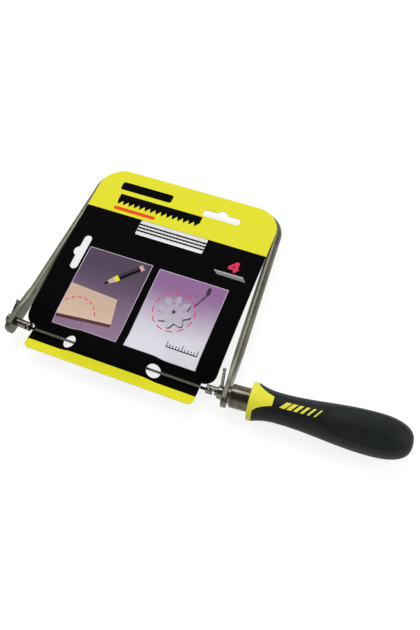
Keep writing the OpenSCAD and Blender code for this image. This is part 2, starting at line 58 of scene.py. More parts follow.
# %% Measure from the front pin
BLADE_DROP = 0.8  # the blade hangs this much below the axis of its holders
pin_low, pin_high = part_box("front_blade_pin")
rear_low, rear_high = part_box("rear_blade_pin")
ORIGIN = (pin_low + pin_high) / 2 + Vector((0, BLADE_DROP * MM, 0))
SPAN = ((rear_low + rear_high) / 2 - (pin_low + pin_high) / 2).x / MM


def at(x, y, z):
    return ORIGIN + Vector((x, y, z)) * MM


print("front pin at", [round(v, 5) for v in ORIGIN], "span", round(SPAN, 2), "mm")

# %% [markdown]
# Shapes are drawn with a mesh maker, which holds corners and faces while they are added.
# Two small functions turn what it holds into a mesh and put the mesh in the scene.

# %% Mesh helpers


def meshed(mesh_maker, name):
    mesh = bpy.data.meshes.new(name)
    mesh_maker.to_mesh(mesh)
    mesh_maker.free()
    return mesh


def set_out(name, data):
    item = bpy.data.objects.new(name, data)
    bpy.context.scene.collection.objects.link(item)
    return item


print("pieces of the CAD model:", len(nodes))

# %% [markdown]
# ## Materials
# Colours are written as the hex values of a screen and turned to linear light by one
# function. A second one adds a node with its inputs and settings, and every finish is built
# with it. An input is a plain value, a socket, or a node that gives its first output. A Mix
# node that blends colours uses its inputs 0, 6 and 7 and its output 2.

# %% Colour and node helpers


def colour(code):
    parts = [int(code[i:i + 2], 16) / 255 for i in (1, 3, 5)]
    linear = [c / 12.92 if c <= 0.04045 else ((c + 0.055) / 1.055) ** 2.4 for c in parts]
    return (*linear, 1.0)


def add(tree, kind, inputs=None, **settings):
    node = tree.nodes.new(kind)
    for name, value in settings.items():
        setattr(node, name, value)
    for name, value in (inputs or {}).items():
        if isinstance(value, bpy.types.Node):
            value = value.outputs[0]
        if isinstance(value, bpy.types.NodeSocket):
            tree.links.new(value, node.inputs[name])
        else:
            node.inputs[name].default_value = value
    return node


def start_finish(name):
    material = bpy.data.materials.new(name)
    material.use_nodes = True
    material.node_tree.nodes.clear()
    return material, material.node_tree


def grains(size):
    return 1 / (size * MM)


print("a noise of 1 mm grains has the scale", round(grains(1.0)))

# %% [markdown]
# ### Plated and turned steel
# The bow is drawn steel rod with a nickel-chrome plating. The plating is bright but not a
# mirror: it has a faint haze, fine draw lines and darker patches where it is thin. Real draw
# lines are a few hundredths of a millimetre wide. They are drawn half a millimetre wide
# here, or the render would not show them. A Bevel node rounds the sharp edges of the
# pressed plates for the light, as the press leaves them.

# %% Plated steel
LINE_GRAIN = 1.0
LINE_DEPTH = 0.006
LINE_GLOSS = 0.03  # how far a line raises or lowers the roughness
HAZE_SHARE = 0.3   # how far the haze does, as a share of the roughness


def plated_steel(name, bright, dark, roughness, haze_size, line_scale, edge):
    material, tree = start_finish(name)
    place = add(tree, "ShaderNodeTexCoord").outputs["Object"]
    haze = add(tree, "ShaderNodeTexNoise",
               {"Vector": place, "Scale": grains(haze_size), "Detail": 3})
    drawn = add(tree, "ShaderNodeMapping", {"Vector": place, "Scale": line_scale})
    lines = add(tree, "ShaderNodeTexNoise", {"Vector": drawn, "Scale": grains(LINE_GRAIN),
                                             "Detail": 5, "Roughness": 0.7})
    bare = add(tree, "ShaderNodeMapRange", {"Value": haze, "To Min": -0.2, "To Max": 1.2})
    tint = add(tree, "ShaderNodeMix", {0: bare, 6: colour(dark), 7: colour(bright)},
               data_type="RGBA").outputs[2]
    hazy = add(tree, "ShaderNodeMapRange",
               {"Value": haze, "To Min": roughness * (1 - HAZE_SHARE),
                "To Max": roughness * (1 + HAZE_SHARE)})
    lined = add(tree, "ShaderNodeMapRange",
                {"Value": lines, "To Min": -LINE_GLOSS, "To Max": LINE_GLOSS})
    gloss = add(tree, "ShaderNodeMath", {0: hazy, 1: lined}, operation="ADD")
    rounded = add(tree, "ShaderNodeBevel", {"Radius": edge * MM}, samples=4)
    normal = add(tree, "ShaderNodeBump", {"Height": lines, "Normal": rounded,
                                          "Strength": 0.2, "Distance": LINE_DEPTH * MM})
    metal = add(tree, "ShaderNodeBsdfPrincipled",
                {"Base Color": tint, "Metallic": 1.0, "Roughness": gloss, "Normal": normal})
    add(tree, "ShaderNodeOutputMaterial", {"Surface": metal})
    return material


ALONG_ROD, EVEN = (2, 0.25, 2), (3, 3, 3)
rod_finish = plated_steel("nickel_plated_rod", "#807F72", "#55544A", 0.36, 14,
                          ALONG_ROD, 1.9)
turned_finish = plated_steel("turned_steel", "#918D7F", "#54514A", 0.2, 3, EVEN, 0.25)
cup_finish = plated_steel("bright_plated_cup", "#7B7567", "#3B362D", 0.2, 6,
                          (4, 0.6, 4), 0.5)
lever_finish = plated_steel("plated_lever", "#A09D90", "#66645A", 0.22, 2, EVEN, 0.2)
pin_finish = plated_steel("blade_pin_steel", "#9A978C", "#66645A", 0.26, 1.2, EVEN, 0.15)
print("plated and turned:", rod_finish.name, turned_finish.name, cup_finish.name)

# %% [markdown]
# ### Blade steel and brass
# A blade is cut from hardened strip and ground along its length, so its lines run along X.
# The spare blades get a near-black steel, rougher than the mounted blade's, so they shine
# little.
# The hidden nut is turned brass, which is yellower and softer in its shine than steel.

# %% Blade steel and brass
ALONG_BLADE = (0.12, 4, 4)
blade_finish = plated_steel("ground_blade_steel", "#56564D", "#33332D", 0.4, 5,
                            ALONG_BLADE, 0.08)
spare_finish = plated_steel("near_black_spare_steel", "#1E1E1A", "#0F0F0D", 0.5, 5,
                            ALONG_BLADE, 0.08)
brass_finish = plated_steel("turned_brass", "#C9A45A", "#A07F3C", 0.3, 4, EVEN, 0.3)
print("blades and nut:", blade_finish.name, spare_finish.name, brass_finish.name)

# %% [markdown]
# The metal parts need no new shapes, because a turned or bent part is exact in the CAD
# model. Each loses the plain finish that it came with and gets its own.

# %% Dress the metal parts
metal_parts = {
    "bow": rod_finish, "front_spigot": turned_finish, "front_knob": turned_finish,
    "front_lever": lever_finish, "rear_spigot": turned_finish,
    "rear_collar": turned_finish, "rear_lever": lever_finish,
    "thrust_washer": turned_finish, "ferrule": cup_finish, "tension_nut": brass_finish,
    "front_blade_pin": pin_finish, "rear_blade_pin": pin_finish,
    "spare_blade_pins": pin_finish,
}


def dress(node, finish):
    nodes[node].data.materials.clear()
    nodes[node].data.materials.append(finish)


for node, finish in metal_parts.items():
    dress(node, finish)
print("finished metal parts of the CAD model:", len(metal_parts))

# %% [markdown]
# ## The card
# The hanging card is one piece of coated board. The blade is threaded through two round
# holes in it, so the board bends behind the blade, in front of it and behind again. The
# bend is full for a few millimetres beside the blade. It has died away a short way above
# the blade, and at the bottom edge below it. The board also rises a little towards its top.
# Its height is one formula of place, the same one that the CAD model uses.

# %% Height of the board
card_low, card_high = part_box("card")
LEFT = (card_low.x - ORIGIN.x) / MM
RIGHT = (card_high.x - ORIGIN.x) / MM
BOTTOM = (card_low.y - ORIGIN.y) / MM
TOP = (card_high.y - ORIGIN.y) / MM
BOARD = 0.6  # thickness
RISE, RISE_END = 4.65, 109.0  # height over the bow, and where it is reached
WEAVE, CROSS = 2.7, 7.0  # depth of the bend, and half the run in which it changes sides
FLAT, FADE_END = 3.0, 25.0  # up to where the bend is full, and where it has died away
HOLE_X, HOLE_Y, HOLE_D = (40.0, 116.7), -1.0, 11.5


def quarter(value):
    return math.sin(math.pi / 2 * max(-1, min(1, value)))


def board_z(x, y):
    side = quarter((x - HOLE_X[0]) / CROSS) - quarter((x - HOLE_X[1]) / CROSS) - 1
    run = (FADE_END if y > 0 else -BOTTOM) - FLAT
    past = max(0, min(1, (abs(y) - FLAT) / run))
    return (RISE * quarter(max(0, y / RISE_END))
            + WEAVE * side * (1 + math.cos(math.pi * past)) / 2)


print("card", [round(v, 1) for v in (LEFT, RIGHT, BOTTOM, TOP)], "mm")

# %% [markdown]
# The print is made of flat shapes in plan, in painter's order. Each shape becomes cut lines
# in the board's mesh, so every printed edge stays sharp at any size and each ink is a
# material. These helpers return outlines as lists of points.

# %% Outline helpers


def arc(cx, cy, r, start, end, steps):
    return [(cx + r * math.cos(math.radians(start + (end - start) * i / steps)),
             cy + r * math.sin(math.radians(start + (end - start) * i / steps)))
            for i in range(steps + 1)]


def block(x0, y0, x1, y1):
    return [(x0, y0), (x1, y0), (x1, y1), (x0, y1)]


def rounded_block(x0, y0, x1, y1, r, steps=5):
    corners = ((x1 - r, y0 + r, -90), (x1 - r, y1 - r, 0), (x0 + r, y1 - r, 90),
               (x0 + r, y0 + r, 180))
    return [p for cx, cy, a in corners for p in arc(cx, cy, r, a, a + 90, steps)]


def disc(cx, cy, r, steps=36):
    return arc(cx, cy, r, 0, 360, steps)[:-1]


def stroke(points, width):
    left, right = [], []
    for i, (x, y) in enumerate(points):
        ax, ay = points[max(0, i - 1)]
        bx, by = points[min(len(points) - 1, i + 1)]
        length = math.hypot(bx - ax, by - ay)
        nx, ny = -(by - ay) / length * width / 2, (bx - ax) / length * width / 2
        left.append((x + nx, y + ny))
        right.append((x - nx, y - ny))
    return left + right[::-1]


print("corners of a disc:", len(disc(0, 0, 1)), "of a rounded block:",
      len(rounded_block(0, 0, 9, 9, 1)))

# %% [markdown]
# The board's own outline has large round corners at the top, a step in at each side and a
# tab below. Inside it are two hang slots, of the kind with a bump in the middle for a round
# peg, the window that shows the spare blades, and the two holes for the blade.

# %% Outline of the card
CORNER_R, TAB_R, SHOULDER_R = 22.8, 5, 10
SHOULDER_Y, TAB_RIGHT, TAB_LEFT = 13.5, 156.7, 4
SHOULDER_END = 244.8  # the left shoulder's round stops here, at the notch
NOTCH = [(2.5, 4.45), (2.5, 3.5), (4, 3.5)]
WINDOW, WINDOW_R = (48.1, 113.6, 112.9, 129.6), 1.5
SLOT_END, SLOT_HALF, BUMP_R = 14.25, 3.55, 5.1
HANG_SLOTS = ((115.1, 155.7, False), (10.8, 80.5, True))  # place, and whether upright


def hang_slot(cx, cy, upright):
    lift = SLOT_HALF / 2
    spread = math.degrees(math.acos((SLOT_HALF - lift) / BUMP_R))
    points = arc(SLOT_END, 0, SLOT_HALF, -90, 90, 10)
    points += arc(0, lift, BUMP_R, 90 - spread, 90 + spread, 10)
    points += arc(-SLOT_END, 0, SLOT_HALF, 90, 270, 10)
    return [(cx - y, cy + x) if upright else (cx + x, cy + y) for x, y in points]


def card_outline():
    points = arc(TAB_RIGHT - TAB_R, BOTTOM + TAB_R, TAB_R, -90, 0, 6)
    points += arc(RIGHT - SHOULDER_R, SHOULDER_Y, SHOULDER_R, -90, 0, 8)
    points += arc(RIGHT - CORNER_R, TOP - CORNER_R, CORNER_R, 0, 90, 16)
    points += arc(LEFT + CORNER_R, TOP - CORNER_R, CORNER_R, 90, 180, 16)
    points += arc(LEFT + SHOULDER_R, SHOULDER_Y, SHOULDER_R, 180, SHOULDER_END, 6)
    points += NOTCH
    points += arc(TAB_LEFT + TAB_R, BOTTOM + TAB_R, TAB_R, 180, 270, 6)
    return points


openings = [disc(x, HOLE_Y, HOLE_D / 2) for x in HOLE_X]
openings += [rounded_block(*WINDOW, WINDOW_R)]
openings += [hang_slot(*slot) for slot in HANG_SLOTS]
print("outline points:", len(card_outline()), "openings:", len(openings))

# %% [markdown]
# The inks are laid over a black ground: a yellow header and a yellow bottom band, a plain
# label bar, a red bar and a strip of saw teeth. The coloured grounds run past the board's
# edges, which cut them off.

# %% Bands and saw teeth
HEADER_Y, BAND_Y = 129.6, -9.3
FAR_LEFT, FAR_RIGHT, FAR_TOP, FAR_BOTTOM = -30, 200, 200, -40
LABEL, LABEL_R = (14.3, 155.3, 65.3, 164.2), 2.2
RED_BAR = (17.8, 132.8, 58.4, 136.4)
STRIP_LEFT, STRIP_RIGHT, STRIP_TOP, GULLET_Y, TIP_Y = 17.8, 99, 150.6, 143.4, 138.6
STRIP_TEETH, TOOTH_PITCH, TIP_SHARE = 15, 5.413, 0.28
shapes = [("yellow", block(FAR_LEFT, HEADER_Y, FAR_RIGHT, FAR_TOP)),
          ("yellow", block(FAR_LEFT, FAR_BOTTOM, FAR_RIGHT, BAND_Y)),
          ("black", rounded_block(*LABEL, LABEL_R)),
          ("signal", block(*RED_BAR))]
teeth = [(STRIP_RIGHT, STRIP_TOP), (STRIP_LEFT, STRIP_TOP)]
for i in range(STRIP_TEETH):
    teeth += [(STRIP_LEFT + TOOTH_PITCH * i, GULLET_Y),
              (STRIP_LEFT + TOOTH_PITCH * (i + TIP_SHARE), TIP_Y)]
teeth += [(STRIP_RIGHT, GULLET_Y)]
shapes += [("black", teeth)]
print("bands and teeth:", len(shapes), "shapes")

# %% [markdown]
# Two framed pictures follow. Both are generic. The first is a board with a marked cut, and
# a pencil that has drawn it.

# %% Picture of a marked board
FRAME_LINE, RING_LINE, DASH_LINE = 0.5, 0.45, 1.0
CUT_X, CUT_Y, CUT_R, CUT_START = 33, 22, 17.5, 18
CUT_DASHES, CUT_TURN, CUT_DASH = 7, 19, 11  # count, and degrees of a step and of a dash
PENCIL = 5.6
PICTURES = (("mauve", (17.1, 11.3, 77.1, 88.0)), ("lilac", (85.0, 11.1, 147.8, 87.0)))
for ground, (x0, y0, x1, y1) in PICTURES:
    shapes += [("line", block(x0 - FRAME_LINE, y0 - FRAME_LINE, x1 + FRAME_LINE,
                              y1 + FRAME_LINE)),
               (ground, block(x0, y0, x1, y1))]
board_top = [(17.1, 19.5), (66.5, 24.5), (62.0, 47.5), (17.1, 50.0)]
board_side = [(17.1, 16.6), (66.5, 21.4), (66.5, 24.5), (17.1, 19.5)]
shapes += [("edge_brown", board_side), ("wood", board_top)]
for y in (25.5, 31.0, 35.0, 42.5):
    year_ring = [(17.4, y - 1.5), (38.0, y + 0.6), (61.5, y + 2.5)]
    shapes += [("wood_line", stroke(year_ring, RING_LINE))]
for i in range(CUT_DASHES):
    start = CUT_START + CUT_TURN * i
    dash = arc(CUT_X, CUT_Y, CUT_R, start, start + CUT_DASH, 4)
    shapes += [("red", stroke(dash, DASH_LINE))]
shapes += [("black", stroke([(44.5, 58.0), (47.2, 60.9)], 1.6)),
           ("wood", [(46.0, 61.9), (48.4, 59.7), (53.6, 63.0), (49.7, 66.8)]),
           ("yellow", stroke([(51.6, 64.9), (54.2, 67.5)], PENCIL)),
           ("ink_grey", stroke([(54.2, 67.5), (68.2, 81.5)], PENCIL)),
           ("black", stroke([(54.9, 66.8), (68.9, 80.8)], 2.0)),
           ("pink", stroke([(68.2, 81.5), (70.6, 83.9)], PENCIL))]
print("shapes with the first picture:", len(shapes))

# %% [markdown]
# The second picture is a fretted rosette with eight lobes and eight holes, a dashed line
# round it, an awl that points at it and a small scale.

# %% Picture of a rosette
ROSE_X, ROSE_Y, ROSE_R, LOBE, LOBES = 112.0, 53.0, 13.0, 2.2, 8
LOBE_HOLES_R, LOBE_HOLE_R, MIDDLE_R, AXLE_R = 8.4, 2.1, 3.6, 1.5
ROUND_R, ROUND_DASHES, ROUND_TURN, ROUND_DASH = 18.2, 12, 30, 19
SCALE_X, SCALE_Y, SCALE_STEP, SCALE_MARKS = 118.2, 22.4, 2.69, 11
rosette = []
for i in range(96):
    a = math.tau * i / 96
    r = ROSE_R + LOBE * math.cos(LOBES * a)
    rosette.append((ROSE_X + r * math.cos(a), ROSE_Y + r * math.sin(a)))
shadow = [(x + 0.9, y - 1.0) for x, y in rosette]
shapes += [("ink_grey", shadow), ("silver", rosette)]
for i in range(LOBES):
    a = math.tau * (i + 0.5) / LOBES
    x, y = ROSE_X + LOBE_HOLES_R * math.cos(a), ROSE_Y + LOBE_HOLES_R * math.sin(a)
    shapes += [("lilac", disc(x, y, LOBE_HOLE_R, 16))]
shapes += [("lilac", disc(ROSE_X, ROSE_Y, MIDDLE_R, 24)),
           ("ink_grey", disc(ROSE_X, ROSE_Y, AXLE_R, 16))]
for i in range(ROUND_DASHES):
    start = ROUND_TURN * i
    dash = arc(ROSE_X, ROSE_Y, ROUND_R, start, start + ROUND_DASH, 4)
    shapes += [("red", stroke(dash, DASH_LINE))]
shapes += [("ink_grey", stroke([(133.0, 77.0), (133.0, 84.0)], 3.4)),
           ("ink_grey", stroke([(126.8, 63.4), (133.0, 77.0)], 1.2)),
           ("black", stroke([(117.8, 22.0), (145.5, 22.0)], 0.9))]
for i in range(SCALE_MARKS):
    x = SCALE_X + SCALE_STEP * i
    top = 27.0 if i % 5 == 0 else 24.9
    shapes += [("black", stroke([(x, SCALE_Y), (x, top)], 0.7))]
print("shapes with both pictures:", len(shapes))

# %% [markdown]
# Above the second picture a slanted grey tag with a lit upper edge stands for the blades in
# the pocket, and the figure over it counts them.

# %% Tag and count
shapes += [("tag_grey", [(132.5, 99.2), (158.7, 99.0), (155.0, 103.3), (128.6, 102.8)]),
           ("silver", [(129.6, 101.8), (156.2, 102.0), (155.0, 103.3), (128.6, 102.8)]),
           ("red", stroke([(146.0, 105.2), (146.8, 115.9)], 2.8)),
           ("red", stroke([(146.2, 115.3), (140.4, 109.0)], 2.3)),
           ("red", stroke([(139.6, 108.4), (148.9, 108.6)], 2.3))]
print("printed shapes:", len(shapes))

# %% [markdown]
# A constrained triangulation puts every outline into one sheet of triangles. Long edges are
# cut into short ones first, and a grid of points lies between them, finer round the holes,
# so that the sheet can bend everywhere. Each triangle then takes the ink of the last shape
# that its middle lies in.

# %% Helpers for the sheet
LONGEST_EDGE = 2.2


def inside(loop, x, y):
    found = False
    for (ax, ay), (bx, by) in zip(loop, loop[1:] + loop[:1]):
        if (ay > y) != (by > y) and x < (bx - ax) * (y - ay) / (by - ay) + ax:
            found = not found
    return found


def box_of(loop):
    xs, ys = [p[0] for p in loop], [p[1] for p in loop]
    return min(xs), min(ys), max(xs), max(ys)


def short_edges(loop):
    points = []
    for (ax, ay), (bx, by) in zip(loop, loop[1:] + loop[:1]):
        parts = max(1, math.ceil(math.hypot(bx - ax, by - ay) / LONGEST_EDGE))
        points += [(ax + (bx - ax) * i / parts, ay + (by - ay) * i / parts)
                   for i in range(parts)]
    return points


print("short edges round the card:", len(short_edges(card_outline())))

# %% [markdown]
# The triangulation gives back the corners, with new ones where outlines cross, and the
# triangles. A triangle outside the card, or in one of its openings, is dropped.

# %% Cut the sheet
GRID_X, GRID_COLUMNS, GRID_Y, GRID_ROWS = 4.3, 41, 3.9, 50
GRID_AT_HOLES, HOLE_COLUMNS = 1.3, 7  # spacing, and columns on each side of a hole
SAME_CORNER = 1e-4  # corners closer than this become one


def cut_sheet(outline, cuts, prints, grid):
    points, edges = [], []
    for rough in [outline] + cuts + [shape for _, shape in prints]:
        loop = short_edges(rough)
        first = len(points)
        points += loop
        edges += [(first + i, first + (i + 1) % len(loop)) for i in range(len(loop))]
    points += grid
    found = delaunay_2d_cdt([Vector(p) for p in points], edges, [], 0, SAME_CORNER)
    corners, faces = [tuple(v) for v in found[0]], found[2]
    limits = [(ink_name, loop, box_of(loop)) for ink_name, loop in prints]
    kept = []
    for face in faces:
        x = sum(corners[i][0] for i in face) / 3
        y = sum(corners[i][1] for i in face) / 3
        if not inside(outline, x, y) or any(inside(cut, x, y) for cut in cuts):
            continue
        name = "black"
        for ink_name, loop, (x0, y0, x1, y1) in limits:
            if x0 <= x <= x1 and y0 <= y <= y1 and inside(loop, x, y):
                name = ink_name
        kept.append((face, name))
    return corners, kept


grid_x = [LEFT + 2 + GRID_X * i for i in range(GRID_COLUMNS)]
grid_x += [hole + GRID_AT_HOLES * step for hole in HOLE_X
           for step in range(-HOLE_COLUMNS, HOLE_COLUMNS + 1)]
grid_y = [BOTTOM + 1.6 + GRID_Y * i for i in range(GRID_ROWS)]
grid = [(x, y) for x in grid_x for y in grid_y]
corners, kept = cut_sheet(card_outline(), openings, shapes, grid)
print("sheet:", len(corners), "corners,", len(kept), "triangles")

# %% [markdown]
# ### Printed board
# The front is bleached board with flat inks under a thin varnish. Varnish gives a soft
# shine that changes with the fibres below it. The two pictures fade down the card, so their
# ink reads the height in Object coordinates, and a slow cloud bends the levels a little.
# Paper fibres are a few hundredths of a millimetre wide and are drawn at half a millimetre,
# so that they show. The back is plain grey board and its cut edge is rough.

# %% Inks and board
FIBRE, FIBRE_DEPTH = 0.5, 0.03
VARNISH_LOW, VARNISH_HIGH = 0.56, 0.7  # roughness over the fibres and between them
CLOUD_SHIFT = 12  # how far the cloud moves a level of the fade


def ink(name, low, high, y_low=0.0, y_high=1.0, cloud_size=18, wear=0.05):
    material, tree = start_finish(name)
    place = add(tree, "ShaderNodeTexCoord").outputs["Object"]
    height = add(tree, "ShaderNodeSeparateXYZ", {"Vector": place}).outputs["Y"]
    cloud = add(tree, "ShaderNodeTexNoise",
                {"Vector": place, "Scale": grains(cloud_size), "Detail": 3})
    level = add(tree, "ShaderNodeMath", {0: cloud, 1: CLOUD_SHIFT * MM, 2: height},
                operation="MULTIPLY_ADD")
    fade = add(tree, "ShaderNodeMapRange",
               {"Value": level, "From Min": ORIGIN.y + y_low * MM,
                "From Max": ORIGIN.y + y_high * MM}, interpolation_type="SMOOTHSTEP")
    tone = add(tree, "ShaderNodeMix", {0: fade, 6: colour(low), 7: colour(high)},
               data_type="RGBA").outputs[2]
    fibres = add(tree, "ShaderNodeTexNoise", {"Vector": place, "Scale": grains(FIBRE),
                                              "Detail": 5, "Roughness": 0.65})
    rubbed = add(tree, "ShaderNodeMapRange",
                 {"Value": fibres, "To Min": -wear, "To Max": wear})
    worn = add(tree, "ShaderNodeMix", {0: rubbed, 6: tone, 7: colour("#B8B4AC")},
               data_type="RGBA").outputs[2]
    gloss = add(tree, "ShaderNodeMapRange",
                {"Value": fibres, "To Min": VARNISH_LOW, "To Max": VARNISH_HIGH})
    normal = add(tree, "ShaderNodeBump", {"Height": fibres, "Strength": 0.2,
                                          "Distance": FIBRE_DEPTH * MM})
    varnish = add(tree, "ShaderNodeBsdfPrincipled",
                  {"Base Color": worn, "Roughness": gloss, "Normal": normal,
                   "Specular IOR Level": 0.03})
    add(tree, "ShaderNodeOutputMaterial", {"Surface": varnish})
    return material


def board_stock(name, light, dark, flake_size):
    material, tree = start_finish(name)
    place = add(tree, "ShaderNodeTexCoord").outputs["Object"]
    rolled = add(tree, "ShaderNodeMapping", {"Vector": place, "Scale": (1.0, 0.35, 1.0),
                                             "Rotation": (0, 0, 0.4)})
    flakes = add(tree, "ShaderNodeTexNoise", {"Vector": rolled, "Scale": grains(flake_size),
                                              "Detail": 6, "Roughness": 0.7})
    tone = add(tree, "ShaderNodeMix", {0: flakes, 6: colour(dark), 7: colour(light)},
               data_type="RGBA").outputs[2]
    normal = add(tree, "ShaderNodeBump", {"Height": flakes, "Strength": 0.6,
                                          "Distance": 0.05 * MM})
    board = add(tree, "ShaderNodeBsdfPrincipled",
                {"Base Color": tone, "Roughness": 0.86, "Normal": normal})
    add(tree, "ShaderNodeOutputMaterial", {"Surface": board})
    return material


inks = {
    "black": ink("black_ink", "#030303", "#050405", wear=0.002),
    "yellow": ink("yellow_ink", "#E2DE2A", "#E2DE33", -18, 177),
    "signal": ink("signal_red_ink", "#E2471C", "#E6501F"),
    "red": ink("red_ink", "#DE2C4E", "#E0365A"),
    "pink": ink("pink_ink", "#C98D92", "#D6A0A4"),
    "line": ink("pale_line_ink", "#BDB4C2", "#CFC6D2", 11, 88),
    "mauve": ink("mauve_picture_ink", "#8F7690", "#54465A", 15, 84, 24),
    "lilac": ink("lilac_picture_ink", "#DADAE2", "#906A96", 26, 84, 24),
    "wood": ink("wood_picture_ink", "#DCC3AF", "#CDB09C", 18, 50, 7),
    "wood_line": ink("wood_line_ink", "#CFB39D", "#BFA28D", 18, 50, 7),
    "edge_brown": ink("dark_wood_ink", "#4E2F33", "#5A3A3A", 16, 26),
    "silver": ink("silver_picture_ink", "#C6C3CC", "#AFA9B6", 38, 68, 9),
    "ink_grey": ink("grey_ink", "#4B454F", "#3B3641", 20, 80),
    "tag_grey": ink("grey_tag_ink", "#868C84", "#7C827B"),
}
board_back = board_stock("grey_board_back", "#C9C6BC", "#A9A69C", 1.6)
board_edge = board_stock("cut_board_edge", "#D6D2C2", "#A8A494", 0.5)
print("inks:", len(inks))

# %% [markdown]
# The flat sheet gets its two faces and its cut edge here. The front follows the height
# formula and the back lies one board thickness below it. An edge that belongs to one
# triangle only is part of the rim. Only the rim is sharp, so the bends shade smoothly.

# %% Build the board


def build_board(name):
    mesh_maker = bmesh.new()
    front, back = {}, {}
    for i in sorted({corner for face, _ in kept for corner in face}):
        x, y = corners[i]
        z = board_z(x, y)
        front[i] = mesh_maker.verts.new(at(x, y, z + BOARD / 2))
        back[i] = mesh_maker.verts.new(at(x, y, z - BOARD / 2))
    order = list(inks)
    rim = {}
    for face, ink_name in kept:
        a, b, c = face
        (ax, ay), (bx, by), (cx, cy) = corners[a], corners[b], corners[c]
        if (bx - ax) * (cy - ay) - (by - ay) * (cx - ax) < 0:
            b, c = c, b
        top = mesh_maker.faces.new((front[a], front[b], front[c]))
        top.material_index = order.index(ink_name)
        mesh_maker.faces.new((back[a], back[c], back[b])).material_index = len(order)
        for p, q in ((a, b), (b, c), (c, a)):
            if (q, p) in rim:
                del rim[(q, p)]
            else:
                rim[(p, q)] = True
    for p, q in rim:
        side = mesh_maker.faces.new((front[q], front[p], back[p], back[q]))
        side.material_index = len(order) + 1
        for edge in side.edges:
            edge.smooth = False
    for face in mesh_maker.faces:
        face.smooth = True
    mesh = meshed(mesh_maker, name)
    for finish in [*inks.values(), board_back, board_edge]:
        mesh.materials.append(finish)
    return set_out(name, mesh)


card_board = build_board("card_board")
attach(card_board, "saw_frame")
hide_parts("card")
print("board:", len(card_board.data.polygons), "faces")

# %% [markdown]
# ## Blades
# A fret saw blade is a thin strip with a row of teeth filed along one edge, bent a little
# to the left and right in turn so that the cut is wider than the strip. One Geometry Nodes
# tree makes it: a strip, a wider lug at each end for the pin, a row of points, and a filed
# tooth at each point. Its inputs are the real sizes, in metres, so the mounted blade and the
# three spare ones are the same tree in other places.

# %% Sizes of a blade
BLADE_SIZES = {"Span": 0.165, "Width": 0.0024, "Thickness": 0.0005, "Tail": 0.0015,
               "Pitch": 0.0016, "Depth": 0.0006, "Margin": 0.007, "Set": 0.00012}
TOOTH_TURN = math.radians(-90 + 8)  # a tooth points down and leans 8 degrees forward
print("teeth on a blade: one every", round(BLADE_SIZES["Pitch"] / MM, 2), "mm")

# %% [markdown]
# Each line of the next table is one Math node: the name of its result, what it does, and
# its two inputs, which are names of earlier results or plain numbers. The second table
# joins three results into a vector. Both are easier to read, and to change, than links.

# %% What the blade tree works out
BLADE_SUMS = (
    ("Tails", "MULTIPLY", "Tail", 2.0),
    ("Length", "ADD", "Span", "Tails"),
    ("Half span", "MULTIPLY", "Span", 0.5),
    ("Body width", "SUBTRACT", "Width", "Depth"),
    ("Half depth", "MULTIPLY", "Depth", 0.5),
    ("Lug length", "ADD", "Margin", "Tail"),
    ("Lug overhang", "SUBTRACT", "Margin", "Tail"),
    ("Front lug", "MULTIPLY", "Lug overhang", 0.5),
    ("Rear lug", "SUBTRACT", "Span", "Front lug"),
    ("Margins", "MULTIPLY", "Margin", 2.0),
    ("Toothed run", "SUBTRACT", "Span", "Margins"),
    ("Pitches", "DIVIDE", "Toothed run", "Pitch"),
    ("Teeth", "FLOOR", "Pitches", 0.0),
    ("Half pitch", "MULTIPLY", "Pitch", 0.5),
    ("First tooth", "ADD", "Margin", "Half pitch"),
    ("Lower edge", "MULTIPLY", "Width", -0.5),
    ("Tooth middle", "MULTIPLY", "Depth", 0.66),
    ("Tooth line", "ADD", "Lower edge", "Tooth middle"),
    ("Odd", "MODULO", "Index", 2.0),
    ("Twice", "MULTIPLY", "Odd", 2.0),
    ("Left or right", "SUBTRACT", "Twice", 1.0),
    ("Lean", "MULTIPLY", "Left or right", "Set"),
    ("Tooth length", "MULTIPLY", "Pitch", 0.56),
    ("Tooth height", "MULTIPLY", "Depth", 0.67),
)
BLADE_VECTORS = (
    ("Strip size", "Length", "Body width", "Thickness"),
    ("Strip place", "Half span", "Half depth", 0.0),
    ("Lug size", "Lug length", "Width", "Thickness"),
    ("Front lug place", "Front lug", 0.0, 0.0),
    ("Rear lug place", "Rear lug", 0.0, 0.0),
    ("Row start", "First tooth", "Tooth line", 0.0),
    ("Row step", "Pitch", 0.0, 0.0),
    ("Tooth shift", 0.0, 0.0, "Lean"),
    ("Tooth size", "Tooth length", "Tooth height", "Thickness"),
)
print("sums:", len(BLADE_SUMS), "vectors:", len(BLADE_VECTORS))

# %% Blade tree


